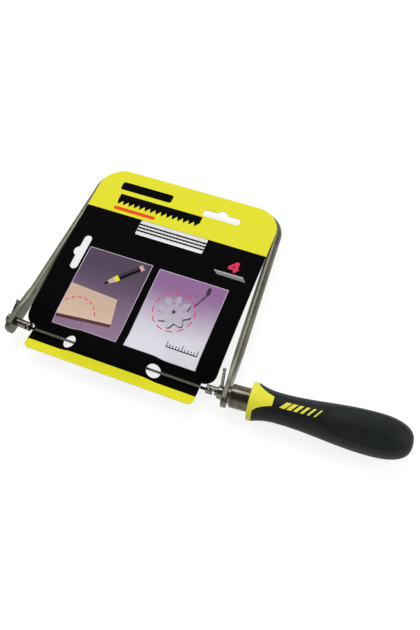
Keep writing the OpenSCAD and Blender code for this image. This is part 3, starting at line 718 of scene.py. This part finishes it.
def blade_tree():
    tree = bpy.data.node_groups.new("toothed_blade", "GeometryNodeTree")
    for name, value in BLADE_SIZES.items():
        socket = tree.interface.new_socket(name, in_out="INPUT",
                                           socket_type="NodeSocketFloat")
        socket.default_value = value
    tree.interface.new_socket("Finish", in_out="INPUT", socket_type="NodeSocketMaterial")
    tree.interface.new_socket("Blade", in_out="OUTPUT", socket_type="NodeSocketGeometry")
    given = add(tree, "NodeGroupInput").outputs
    known = {name: given[name] for name in BLADE_SIZES}
    known["Index"] = add(tree, "GeometryNodeInputIndex")
    for name, work, first, second in BLADE_SUMS:
        known[name] = add(tree, "ShaderNodeMath",
                          {0: known.get(first, first), 1: known.get(second, second)},
                          operation=work, label=name)
    for name, *parts in BLADE_VECTORS:
        known[name] = add(tree, "ShaderNodeCombineXYZ",
                          {i: known.get(part, part) for i, part in enumerate(parts)},
                          label=name)
    solids = []
    for size, place in (("Strip size", "Strip place"), ("Lug size", "Front lug place"),
                        ("Lug size", "Rear lug place")):
        cube = add(tree, "GeometryNodeMeshCube", {"Size": known[size]})
        solids.append(add(tree, "GeometryNodeTransform",
                          {"Geometry": cube, "Translation": known[place]}))
    row = add(tree, "GeometryNodeMeshLine",
              {"Count": known["Teeth"], "Start Location": known["Row start"],
               "Offset": known["Row step"]})
    wedge = add(tree, "GeometryNodeMeshCylinder",
                {"Vertices": 3, "Radius": 1.0, "Depth": 1.0})
    tooth = add(tree, "GeometryNodeTransform",
                {"Geometry": wedge, "Rotation": (0, 0, TOOTH_TURN)})
    bent = add(tree, "GeometryNodeSetPosition",
               {"Geometry": row, "Offset": known["Tooth shift"]})
    filed = add(tree, "GeometryNodeInstanceOnPoints",
                {"Points": bent, "Instance": tooth, "Scale": known["Tooth size"]})
    joined = add(tree, "GeometryNodeJoinGeometry")
    for solid in solids + [filed]:
        tree.links.new(solid.outputs[0], joined.inputs["Geometry"])
    real = add(tree, "GeometryNodeRealizeInstances", {"Geometry": joined})
    dressed = add(tree, "GeometryNodeSetMaterial",
                  {"Geometry": real, "Material": given["Finish"]})
    add(tree, "NodeGroupOutput", {"Blade": dressed})
    return tree


toothed_blade = blade_tree()
print("blade tree:", len(toothed_blade.nodes), "nodes")

# %% [markdown]
# A tree's result is turned into a plain mesh, and its place goes into that mesh. The mounted
# blade lies flat in the plane of the saw. A spare blade stands on edge under the board, with
# its teeth down, so it is turned a quarter about its own length.

# %% Make a piece from a tree


def settled(name, tree, values, base=None):
    maker = set_out(name + "_maker", base or bpy.data.meshes.new(name + "_start"))
    modifier = maker.modifiers.new("tree", "NODES")
    modifier.node_group = tree
    for item in tree.interface.items_tree:
        if item.in_out == "INPUT" and item.name in values:
            modifier[item.identifier] = values[item.name]
    bpy.context.view_layer.update()
    seen = maker.evaluated_get(bpy.context.evaluated_depsgraph_get())
    result = bpy.data.meshes.new_from_object(seen)
    maker.modifiers.remove(modifier)
    bpy.data.objects.remove(maker)
    return set_out(name, result)


def make_blade(name, node, place, turn):
    finish = blade_finish if node == "blade" else spare_finish
    piece = settled(name, toothed_blade, {"Span": SPAN * MM, "Finish": finish})
    piece.data.transform(Matrix.Translation(place) @ Matrix.Rotation(turn, 4, "X"))
    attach(piece, "blade_set" if node == "blade" else "saw_frame")
    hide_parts(node)
    return piece


mounted = make_blade("toothed_blade", "blade", at(0, -BLADE_DROP, 0), 0.0)
for i in (1, 2, 3):
    low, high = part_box("spare_blade_%d" % i)
    front_pin = low.x + BLADE_SIZES["Tail"]
    start = Vector((front_pin, (low.y + high.y) / 2, (low.z + high.z) / 2))
    make_blade("spare_toothed_blade_%d" % i, "spare_blade_%d" % i, start, math.pi / 2)
print("mounted blade:", len(mounted.data.polygons), "faces")

# %% [markdown]
# ## Pocket for the spare blades
# The pocket is a strip of thin clear polypropylene film, folded and glued to the back of the
# board. Its CAD shape is right, so it only gets a finish. Such film is a little milky and
# has long creases, which catch the light along the blades.

# %% Pocket film


def pocket_film():
    material, tree = start_finish("milky_pocket_film")
    place = add(tree, "ShaderNodeTexCoord").outputs["Object"]
    long_way = add(tree, "ShaderNodeMapping", {"Vector": place, "Scale": (0.12, 1, 1)})
    creases = add(tree, "ShaderNodeTexNoise",
                  {"Vector": long_way, "Scale": grains(2.5), "Detail": 3})
    milky = add(tree, "ShaderNodeMapRange",
                {"Value": creases, "To Min": -0.1, "To Max": 0.6})
    tone = add(tree, "ShaderNodeMix", {0: milky, 6: colour("#FBFBF8"),
                                       7: colour("#DCDCD6")}, data_type="RGBA").outputs[2]
    gloss = add(tree, "ShaderNodeMapRange",
                {"Value": creases, "To Min": 0.3, "To Max": 0.5})
    normal = add(tree, "ShaderNodeBump", {"Height": creases, "Strength": 0.5,
                                          "Distance": 0.15 * MM})
    film = add(tree, "ShaderNodeBsdfPrincipled",
               {"Base Color": tone, "Roughness": gloss, "Normal": normal, "IOR": 1.49,
                "Alpha": 0.06})
    add(tree, "ShaderNodeOutputMaterial", {"Surface": film})
    return material


dress("blade_pocket", pocket_film())
print("pocket finished")

# %% [markdown]
# ## Handle
# The handle is moulded twice. First comes a stiff yellow core with a flange and two tongues,
# then soft black rubber over it. Both skins follow one outline round the screw's axis, and
# they meet along one line, which runs round behind the flange and out along each tongue.
# From here on, u is a distance along that axis from the face of the ferrule.

# %% Outline of the handle
SPLAY, FACE_X = math.radians(4.2), 18.08
FLANGE_U, BOLSTER_U, WAIST_U, SWELL_U, BUTT_U = 15.8, 19.8, 39.6, 110.8, 141.95
WAIST_R, FLARE, SWELL = 12.05, 3.4, 4.9
FLARE_POWER, BUTT_POWER, BUTT_ROUND = 2.4, 2.4, 2.8
TONGUE_TIP, TONGUE_SIDE = 19, 52  # degrees from the middle of a tongue
TONGUE, TONGUE_POWER, SEAM_CLEAR = 14.0, 1.75, 0.15


def grip_r(u):
    if u <= WAIST_U:
        return WAIST_R + FLARE * ((WAIST_U - u) / (WAIST_U - BOLSTER_U)) ** FLARE_POWER
    if u <= SWELL_U:
        share = (u - WAIST_U) / (SWELL_U - WAIST_U)
        return WAIST_R + SWELL / 2 * (1 - math.cos(math.pi * share))
    share = min(1.0, (u - SWELL_U) / (BUTT_U - SWELL_U))
    return (WAIST_R + SWELL) * (1 - share ** BUTT_POWER) ** (1 / BUTT_ROUND)


def on_handle(u, degrees, r):
    angle = math.radians(degrees)
    x, y, z = FACE_X + u, r * math.cos(angle), r * math.sin(angle)
    return at(SPAN + x * math.cos(SPLAY) - y * math.sin(SPLAY),
              x * math.sin(SPLAY) + y * math.cos(SPLAY), z)


def ease(value):
    value = max(0.0, min(1.0, value))
    return value * value * (3 - 2 * value)


def seam_u(degrees):
    off = abs(degrees % 180 - 90)
    flare = max(0.0, min(1.0, (TONGUE_SIDE - off) / (TONGUE_SIDE - TONGUE_TIP)))
    return BOLSTER_U + SEAM_CLEAR + TONGUE * flare ** TONGUE_POWER


print("seam at the tongue:", round(seam_u(90), 2), "at the side:", round(seam_u(0), 2))

# %% [markdown]
# Each skin is a grid: columns go round the handle, and each column is one line of points
# along it, packed closely near the seam. Where the two mouldings meet, both edges are rolled
# in a little, which makes the fine dark groove of a real two-shot moulding.

# %% Skin of revolution
COLUMNS = 240


def skin(name, line_at, finish):
    mesh_maker = bmesh.new()
    table = []
    for c in range(COLUMNS):
        degrees = 360 * c / COLUMNS
        table.append([mesh_maker.verts.new(on_handle(u, degrees, r))
                      for u, r in line_at(degrees)])
    for first, second in zip(table, table[1:] + table[:1]):
        for k in range(len(first) - 1):
            mesh_maker.faces.new((first[k], first[k + 1], second[k + 1], second[k]))
    bmesh.ops.remove_doubles(mesh_maker, verts=mesh_maker.verts, dist=1e-6)
    bmesh.ops.recalc_face_normals(mesh_maker, faces=mesh_maker.faces)
    for face in mesh_maker.faces:
        face.smooth = True
    mesh = meshed(mesh_maker, name)
    mesh.materials.append(finish)
    return set_out(name, mesh)


print("a column every", 360 / COLUMNS, "degrees")

# %% Line of the core
FLANGE_R, FLANGE_EDGE, EDGE_STEPS = 15.5, 0.8, 5
FACE_RINGS = (9.3, 11.0, 13.0, FLANGE_R - FLANGE_EDGE)
CORE_ROLL, CORE_ROLL_RUN = 0.3, 0.5  # how deep the edge is rolled in, and over what run
CORE_ROLL_FROM = 0.6  # how far before the bolster's end the roll may start
CORE_ROWS = 26


def core_line(degrees):
    line = [(FLANGE_U, r) for r in FACE_RINGS]
    for i in range(1, EDGE_STEPS + 1):
        turn = math.pi / 2 * i / EDGE_STEPS
        line.append((FLANGE_U + FLANGE_EDGE * (1 - math.cos(turn)),
                     FLANGE_R - FLANGE_EDGE + FLANGE_EDGE * math.sin(turn)))
    start, end = FLANGE_U + FLANGE_EDGE, seam_u(degrees)
    for i in range(1, CORE_ROWS + 1):
        u = start + (end - start) * math.sin(math.pi / 2 * i / CORE_ROWS)
        r = FLANGE_R if u < BOLSTER_U else grip_r(u)
        if u > BOLSTER_U - CORE_ROLL_FROM:
            r -= CORE_ROLL * (1 - ease((end - u) / CORE_ROLL_RUN))
        line.append((u, r))
    return line


print("points along the core:", len(core_line(0)))

# %% [markdown]
# The rubber has three forms of its own. Two oval panels are sunk half a millimetre into it,
# one under the fingers and one under the palm, narrower towards the waist, and a fine groove
# is cut round each. A low pad carries the printed marks between the waist and the swell.

# %% Line of the rubber
RUBBER_ROLL, RUBBER_ROLL_RUN = 0.32, 0.7
NEAR_RUN, NEAR_ROWS, MIDDLE_ROWS, BUTT_ROWS = 0.9, 5, 100, 44
PANEL_ANGLES, PANEL_U = (96.0, 276.0), 104.5
PANEL_LONG, PANEL_WIDE = 31.5, 14.0  # half its length and half its width
PANEL_TAPER, PANEL_POWER, PANEL_SUNK = 0.28, 2.6, 0.5
PANEL_LAST_U = 126.0  # from here to the butt the width is measured on one radius
WALL_SHARE, GROOVE_SHARE, GROOVE_DEPTH = 0.05, 0.04, 0.8  # shares of the panel
PAD_FROM, PAD_TO, PAD_ANGLE, PAD_SIDE = 38.5, 75.5, 97, 40
PAD_RISE, PAD_EDGE, PAD_EDGE_ANGLE = 0.35, 0.8, 3


def panel_depth(u, degrees):
    deepest = 0.0
    for centre in PANEL_ANGLES:
        off = math.radians((degrees - centre + 180) % 360 - 180)
        across = off * grip_r(min(u, PANEL_LAST_U)) / PANEL_WIDE
        along = (u - PANEL_U) / PANEL_LONG
        if along < 0:
            across /= 1 - PANEL_TAPER * along * along
        reach = (abs(along) ** PANEL_POWER + abs(across) ** PANEL_POWER) ** (1 / PANEL_POWER)
        groove = GROOVE_DEPTH * ease(1 - abs(reach - 1) / GROOVE_SHARE)
        deepest = max(deepest, ease((1 - reach) / WALL_SHARE), groove)
    return deepest


def rubber_r(u, degrees):
    off = abs(degrees - PAD_ANGLE)
    pad = (ease((u - PAD_FROM) / PAD_EDGE) * ease((PAD_TO - u) / PAD_EDGE)
           * ease((PAD_SIDE - off) / PAD_EDGE_ANGLE))
    rolled = RUBBER_ROLL * (1 - ease((u - seam_u(degrees)) / RUBBER_ROLL_RUN))
    return max(0.0, grip_r(u) - rolled - PANEL_SUNK * panel_depth(u, degrees)
               + PAD_RISE * pad)


def rubber_line(degrees):
    start = seam_u(degrees)
    rows = [start + NEAR_RUN * (i / NEAR_ROWS) ** 1.5 for i in range(NEAR_ROWS)]
    start += NEAR_RUN
    rows += [start + (SWELL_U - start) * i / MIDDLE_ROWS for i in range(MIDDLE_ROWS)]
    rows += [SWELL_U + (BUTT_U - SWELL_U) * math.sin(math.pi / 2 * i / BUTT_ROWS)
             for i in range(BUTT_ROWS + 1)]
    return [(u, rubber_r(u, degrees)) for u in rows]


print("points along the rubber:", len(rubber_line(0)))

# %% [markdown]
# ### Moulded finishes
# The core is polypropylene, satin from the mould, with faint flow marks. The grip is soft
# thermoplastic rubber: nearly black with a green-grey cast, matt, with a fine eroded texture
# that is rubbed a little lighter where the surface stands proud. That texture is about
# 0.3 mm on such a grip and is drawn at 0.45 mm, so that it shows.

# %% Yellow plastic and black rubber


def moulded_yellow():
    material, tree = start_finish("satin_yellow_polypropylene")
    place = add(tree, "ShaderNodeTexCoord").outputs["Object"]
    poured = add(tree, "ShaderNodeMapping", {"Vector": place, "Scale": (0.4, 1.4, 1.4),
                                             "Rotation": (0, 0, SPLAY)})
    flow = add(tree, "ShaderNodeTexNoise", {"Vector": poured, "Scale": grains(9),
                                            "Detail": 4, "Roughness": 0.55})
    orange_peel = add(tree, "ShaderNodeTexNoise",
                      {"Vector": place, "Scale": grains(0.35), "Detail": 3})
    tone = add(tree, "ShaderNodeMix", {0: flow, 6: colour("#DEDA22"),
                                       7: colour("#ECE83A")}, data_type="RGBA").outputs[2]
    gloss = add(tree, "ShaderNodeMapRange", {"Value": flow, "To Min": 0.34, "To Max": 0.46})
    normal = add(tree, "ShaderNodeBump", {"Height": orange_peel, "Strength": 0.3,
                                          "Distance": 0.02 * MM})
    plastic = add(tree, "ShaderNodeBsdfPrincipled",
                  {"Base Color": tone, "Roughness": gloss, "Normal": normal, "IOR": 1.49,
                   "Subsurface Weight": 0.06,
                   "Subsurface Radius": (0.001, 0.0008, 0.0002)})
    add(tree, "ShaderNodeOutputMaterial", {"Surface": plastic})
    return material


def soft_rubber(name, low, high, rough_low, rough_high, texture_size, texture_depth):
    material, tree = start_finish(name)
    place = add(tree, "ShaderNodeTexCoord").outputs["Object"]
    wear = add(tree, "ShaderNodeTexNoise", {"Vector": place, "Scale": grains(14),
                                            "Detail": 5, "Roughness": 0.6})
    texture = add(tree, "ShaderNodeTexNoise",
                  {"Vector": place, "Scale": grains(texture_size), "Detail": 4,
                   "Roughness": 0.6})
    tone = add(tree, "ShaderNodeMix", {0: wear, 6: colour(low), 7: colour(high)},
               data_type="RGBA").outputs[2]
    proud = add(tree, "ShaderNodeMapRange",
                {"Value": texture, "To Min": -0.06, "To Max": 0.08})
    dusty = add(tree, "ShaderNodeMix", {0: proud, 6: tone, 7: colour("#434E4B")},
                data_type="RGBA").outputs[2]
    gloss = add(tree, "ShaderNodeMapRange",
                {"Value": wear, "To Min": rough_low, "To Max": rough_high})
    normal = add(tree, "ShaderNodeBump", {"Height": texture, "Strength": 0.6,
                                          "Distance": texture_depth * MM})
    matt = add(tree, "ShaderNodeBsdfPrincipled",
               {"Base Color": dusty, "Roughness": gloss, "Normal": normal, "IOR": 1.5,
                "Specular IOR Level": 0.22})
    add(tree, "ShaderNodeOutputMaterial", {"Surface": matt})
    return material


yellow_plastic = moulded_yellow()
rubber = soft_rubber("eroded_black_rubber", "#0D100F", "#151A19", 0.46, 0.6, 0.45, 0.05)
pip_rubber = soft_rubber("pebbled_black_rubber", "#1A2222", "#263130", 0.5, 0.66, 0.6, 0.06)
print("handle finishes:", yellow_plastic.name, rubber.name, pip_rubber.name)

# %% [markdown]
# Solidify gives each skin its wall, inwards, so that the outline stays the outer one. The
# real mouldings are solid behind it, which nobody sees, so a thin wall will do.

# %% Mould the two skins
MOULDED_WALL = 1.2
core_skin = skin("handle_core_skin", core_line, yellow_plastic)
rubber_skin = skin("handle_rubber_skin", rubber_line, rubber)
for piece, node, slot in ((core_skin, "handle_core", "yellow_plastic"),
                          (rubber_skin, "handle_grip", "black_rubber")):
    wall = piece.modifiers.new("wall", "SOLIDIFY")
    wall.thickness = MOULDED_WALL * MM
    wall.offset = -1
    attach(piece, "handle")
    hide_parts(node)
print("core:", len(core_skin.data.polygons), "faces; rubber:",
      len(rubber_skin.data.polygons), "faces")

# %% [markdown]
# ### Pebbled grip panels
# The floor of each sunk panel is covered with small flat pebbles, as an etched mould gives.
# Geometry Nodes scatter points over the floor so that none is closer to its neighbour than
# the pebble spacing, and set one low pebble on each. The seed is fixed.

# %% Pebble tree
PEBBLE_SIZES = {"Spacing": 0.00125, "Pebble size": 0.00052, "Pebble rise": 0.00024}
PEBBLE_SEED = 7
TRIED_POINTS = 1200000.0  # points tried on a square metre before the spacing thins them
SMALLEST, LARGEST = 0.75, 1.15


def pebble_tree():
    tree = bpy.data.node_groups.new("pebbled_panel", "GeometryNodeTree")
    tree.interface.new_socket("Panel", in_out="INPUT", socket_type="NodeSocketGeometry")
    for name, value in PEBBLE_SIZES.items():
        socket = tree.interface.new_socket(name, in_out="INPUT",
                                           socket_type="NodeSocketFloat")
        socket.default_value = value
    seed = tree.interface.new_socket("Seed", in_out="INPUT", socket_type="NodeSocketInt")
    seed.default_value = PEBBLE_SEED
    tree.interface.new_socket("Finish", in_out="INPUT", socket_type="NodeSocketMaterial")
    tree.interface.new_socket("Pebbles", in_out="OUTPUT", socket_type="NodeSocketGeometry")
    given = add(tree, "NodeGroupInput").outputs
    spread = add(tree, "GeometryNodeDistributePointsOnFaces",
                 {"Mesh": given["Panel"], "Distance Min": given["Spacing"],
                  "Density Max": TRIED_POINTS, "Seed": given["Seed"]},
                 distribute_method="POISSON")
    pebble = add(tree, "GeometryNodeMeshUVSphere",
                 {"Segments": 7, "Rings": 4, "Radius": 1.0})
    size = add(tree, "ShaderNodeCombineXYZ", {0: given["Pebble size"],
                                              1: given["Pebble size"],
                                              2: given["Pebble rise"]})
    vary = add(tree, "FunctionNodeRandomValue",
               {2: SMALLEST, 3: LARGEST, "Seed": given["Seed"]},
               data_type="FLOAT").outputs[1]
    scaled = add(tree, "ShaderNodeVectorMath", {0: size, "Scale": vary},
                 operation="SCALE")
    set_on = add(tree, "GeometryNodeInstanceOnPoints",
                 {"Points": spread, "Instance": pebble,
                  "Rotation": spread.outputs["Rotation"], "Scale": scaled})
    real = add(tree, "GeometryNodeRealizeInstances", {"Geometry": set_on})
    smooth = add(tree, "GeometryNodeSetShadeSmooth", {"Geometry": real})
    dressed = add(tree, "GeometryNodeSetMaterial",
                  {"Geometry": smooth, "Material": given["Finish"]})
    add(tree, "NodeGroupOutput", {"Pebbles": dressed})
    return tree


print("pebble spacing:", PEBBLE_SIZES["Spacing"] / MM, "mm")

# %% [markdown]
# The floor that the points are scattered on is a grid of its own, one millimetre by two
# degrees, cut to the part of each panel that is sunk fully. Its faces are turned away from
# the handle's axis, because the pebbles stand on that side.

# %% Set the pebbles
PANEL_STEP, PANEL_TURN, PANEL_COLUMNS = 1.0, 2, 28  # columns on each side of the middle
FULLY_SUNK = 0.985  # share of the full depth


def panel_floor():
    mesh_maker = bmesh.new()
    first_u = PANEL_U - PANEL_LONG + PANEL_STEP / 2
    for centre in PANEL_ANGLES:
        found = {}
        for i in range(int(2 * PANEL_LONG / PANEL_STEP)):
            for j in range(-PANEL_COLUMNS, PANEL_COLUMNS + 1):
                u, degrees = first_u + PANEL_STEP * i, centre + PANEL_TURN * j
                if panel_depth(u, degrees) > FULLY_SUNK:
                    r = grip_r(u) - PANEL_SUNK
                    found[i, j] = mesh_maker.verts.new(on_handle(u, degrees, r))
        for i, j in found:
            ring = [found.get(k) for k in ((i, j), (i + 1, j), (i + 1, j + 1), (i, j + 1))]
            if None not in ring:
                mesh_maker.faces.new(ring)
    bmesh.ops.recalc_face_normals(mesh_maker, faces=mesh_maker.faces)
    axis_start = on_handle(0, 0, 0)
    axis = (on_handle(1, 0, 0) - axis_start).normalized()
    for face in mesh_maker.faces:
        out = face.calc_center_median() - axis_start
        out -= axis * out.dot(axis)
        if face.normal.dot(out) < 0:
            face.normal_flip()
    return meshed(mesh_maker, "panel_floor")


pebbles = settled("grip_pebbles", pebble_tree(), {"Finish": pip_rubber}, panel_floor())
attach(pebbles, "handle")
print("pebbles:", len(pebbles.data.polygons), "faces")

# %% [markdown]
# ### Marks on the grip
# The grip carries a plain row of slanted yellow bars, each thinner than the last. They are
# pad printed, so each one is a very thin curved patch that follows the rubber.

# %% Slanted bars
BARS, BAR_STEP, BAR_SLANT = 6, 5.3, 4.6
BAR_WIDTH, BAR_LOSS = 4.2, 0.6  # width of the first bar, and what each next one loses
BAR_FROM, BAR_ANGLE = 82, 26  # degrees round the handle
BAR_ROWS, BAR_COLUMNS = 14, 4
INK_LIFT, INK_WALL = 0.05, 0.12


def printed_bars():
    mesh_maker = bmesh.new()
    for bar in range(BARS):
        start, width = WAIST_U + BAR_STEP * bar, BAR_WIDTH - BAR_LOSS * bar
        table = []
        for j in range(BAR_ROWS + 1):
            degrees = BAR_FROM + BAR_ANGLE * j / BAR_ROWS
            slant = BAR_SLANT * (1 - j / BAR_ROWS)
            row = []
            for i in range(BAR_COLUMNS + 1):
                u = start + width * i / BAR_COLUMNS + slant
                r = rubber_r(u, degrees) + INK_LIFT
                row.append(mesh_maker.verts.new(on_handle(u, degrees, r)))
            table.append(row)
        for near, far in zip(table, table[1:]):
            for i in range(BAR_COLUMNS):
                mesh_maker.faces.new((near[i], far[i], far[i + 1], near[i + 1]))
    for face in mesh_maker.faces:
        face.smooth = True
        if face.normal.z < 0:
            face.normal_flip()
    mesh = meshed(mesh_maker, "grip_bars")
    mesh.materials.append(yellow_plastic)
    piece = set_out("grip_bars", mesh)
    wall = piece.modifiers.new("ink", "SOLIDIFY")
    wall.thickness, wall.offset = INK_WALL * MM, -1
    return piece


bars = printed_bars()
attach(bars, "handle")
print("bars:", len(bars.data.polygons), "faces")

# %% [markdown]
# ## Floor, light and camera
# The floor is plain white and keeps a soft shadow. To the camera and to mirrors it is partly
# its own white, so the ground stays as pale as the paper of the picture, and no lamp has to
# be turned up on the saw for it.

# %% Floor
FLOOR_HALF = 3  # metres
WHITE = (1, 1, 1, 1)
FLOOR_LIT, FLOOR_OWN = 0.3, 0.8


def pale_floor():
    material, tree = start_finish("pale_floor")
    lit = add(tree, "ShaderNodeBsdfDiffuse", {"Color": (FLOOR_LIT, FLOOR_LIT, FLOOR_LIT, 1)})
    own = add(tree, "ShaderNodeEmission", {"Color": WHITE, "Strength": FLOOR_OWN})
    both = add(tree, "ShaderNodeAddShader", {0: lit, 1: own})
    rays = add(tree, "ShaderNodeLightPath").outputs
    seen = rays["Is Camera Ray"]
    for other in ("Is Glossy Ray", "Is Transmission Ray"):
        seen = add(tree, "ShaderNodeMath", {0: seen, 1: rays[other]}, operation="MAXIMUM")
    mix = add(tree, "ShaderNodeMixShader", {0: seen, 1: lit, 2: both})
    add(tree, "ShaderNodeOutputMaterial", {"Surface": mix})
    return material


floor_maker = bmesh.new()
floor_maker.faces.new([floor_maker.verts.new((x, y, 0)) for x, y in
                       block(-FLOOR_HALF, -FLOOR_HALF, FLOOR_HALF, FLOOR_HALF)])
floor_mesh = meshed(floor_maker, "floor")
floor_mesh.materials.append(pale_floor())
floor = set_out("floor", floor_mesh)
print("floor laid at z = 0")

# %% [markdown]
# A dim even world fills the shadows, and the camera sees it as white paper. Metal is judged
# by what it mirrors: the white backdrop low down, and above it the dim ceiling of a studio,
# so the world is read by direction for such rays.

# %% World
FILL, CEILING = 0.62, 0.12
CEILING_FROM, CEILING_TO = 0.2, 0.8  # height of a ray where the ceiling starts and is full
world = bpy.data.worlds.new("studio")
bpy.context.scene.world = world
world.use_nodes = True
sky = world.node_tree
sky.nodes.clear()
rays = add(sky, "ShaderNodeLightPath").outputs
seen = add(sky, "ShaderNodeMath",
           {0: rays["Is Camera Ray"], 1: rays["Is Transmission Ray"]}, operation="MAXIMUM")
direction = add(sky, "ShaderNodeTexCoord").outputs["Generated"]
height = add(sky, "ShaderNodeSeparateXYZ", {0: direction}).outputs["Z"]
mirrored = add(sky, "ShaderNodeMapRange",
               {"Value": height, "From Min": CEILING_FROM, "From Max": CEILING_TO,
                "To Min": 1.0, "To Max": CEILING}, interpolation_type="SMOOTHSTEP")
lighting = add(sky, "ShaderNodeMapRange",
               {"Value": rays["Is Glossy Ray"], "To Min": FILL, "To Max": mirrored})
strength = add(sky, "ShaderNodeMapRange",
               {"Value": seen, "To Min": lighting, "To Max": 1.0})
backdrop = add(sky, "ShaderNodeBackground", {"Color": WHITE, "Strength": strength})
add(sky, "ShaderNodeOutputWorld", {"Surface": backdrop})
print("world:", len(sky.nodes), "nodes")

# %% [markdown]
# A large soft lamp stands high behind the saw, and a weaker one on the other side draws the
# second highlight along the rod. Their places and sizes are in metres.

# %% Lamps


def lamp(name, place, target, size, power):
    data = bpy.data.lights.new(name, "AREA")
    data.shape = "RECTANGLE"
    data.size, data.size_y = size
    data.energy = power
    item = set_out(name, data)
    item.location = place
    ray = Vector(target) - Vector(place)
    item.rotation_euler = ray.to_track_quat("-Z", "Y").to_euler()
    return item


for item in (lamp("key", (-0.42, 0.62, 1.15), (0, 0, 0), (0.9, 0.6), 7.0),
             lamp("side", (1.1, 0.2, 0.75), (0.05, 0, 0), (0.35, 0.9), 4.0)):
    print("lamp:", item.name, item.data.energy, "W")

# %% [markdown]
# The camera stands where the photograph's stood. Its place and turn were solved from the
# corners of the card and the bow, so the lines below are measured numbers: the place is in
# millimetres from the front pin, and the three rows are the camera's right, down and ahead.

# %% Camera
CAMERA_PLACE = (269.4, -181.0, 508.4)
CAMERA_RIGHT = (0.9276, 0.3690, -0.0580)
CAMERA_DOWN = (0.3001, -0.8286, -0.4726)
CAMERA_AHEAD = (-0.2224, 0.4209, -0.8794)
camera_data = bpy.data.cameras.new("camera")
camera_data.lens = 39.4
camera_data.sensor_width = 36.0
camera_data.clip_start = 0.01
camera = set_out("camera", camera_data)
turn = Matrix((CAMERA_RIGHT, [-v for v in CAMERA_DOWN], [-v for v in CAMERA_AHEAD]))
place = Matrix.Translation(at(*CAMERA_PLACE))
camera.matrix_world = place @ turn.transposed().to_4x4()
bpy.context.scene.camera = camera
print("camera at", [round(v, 4) for v in camera.location])

# %% Look settings
bpy.context.scene.view_settings.view_transform = "Standard"
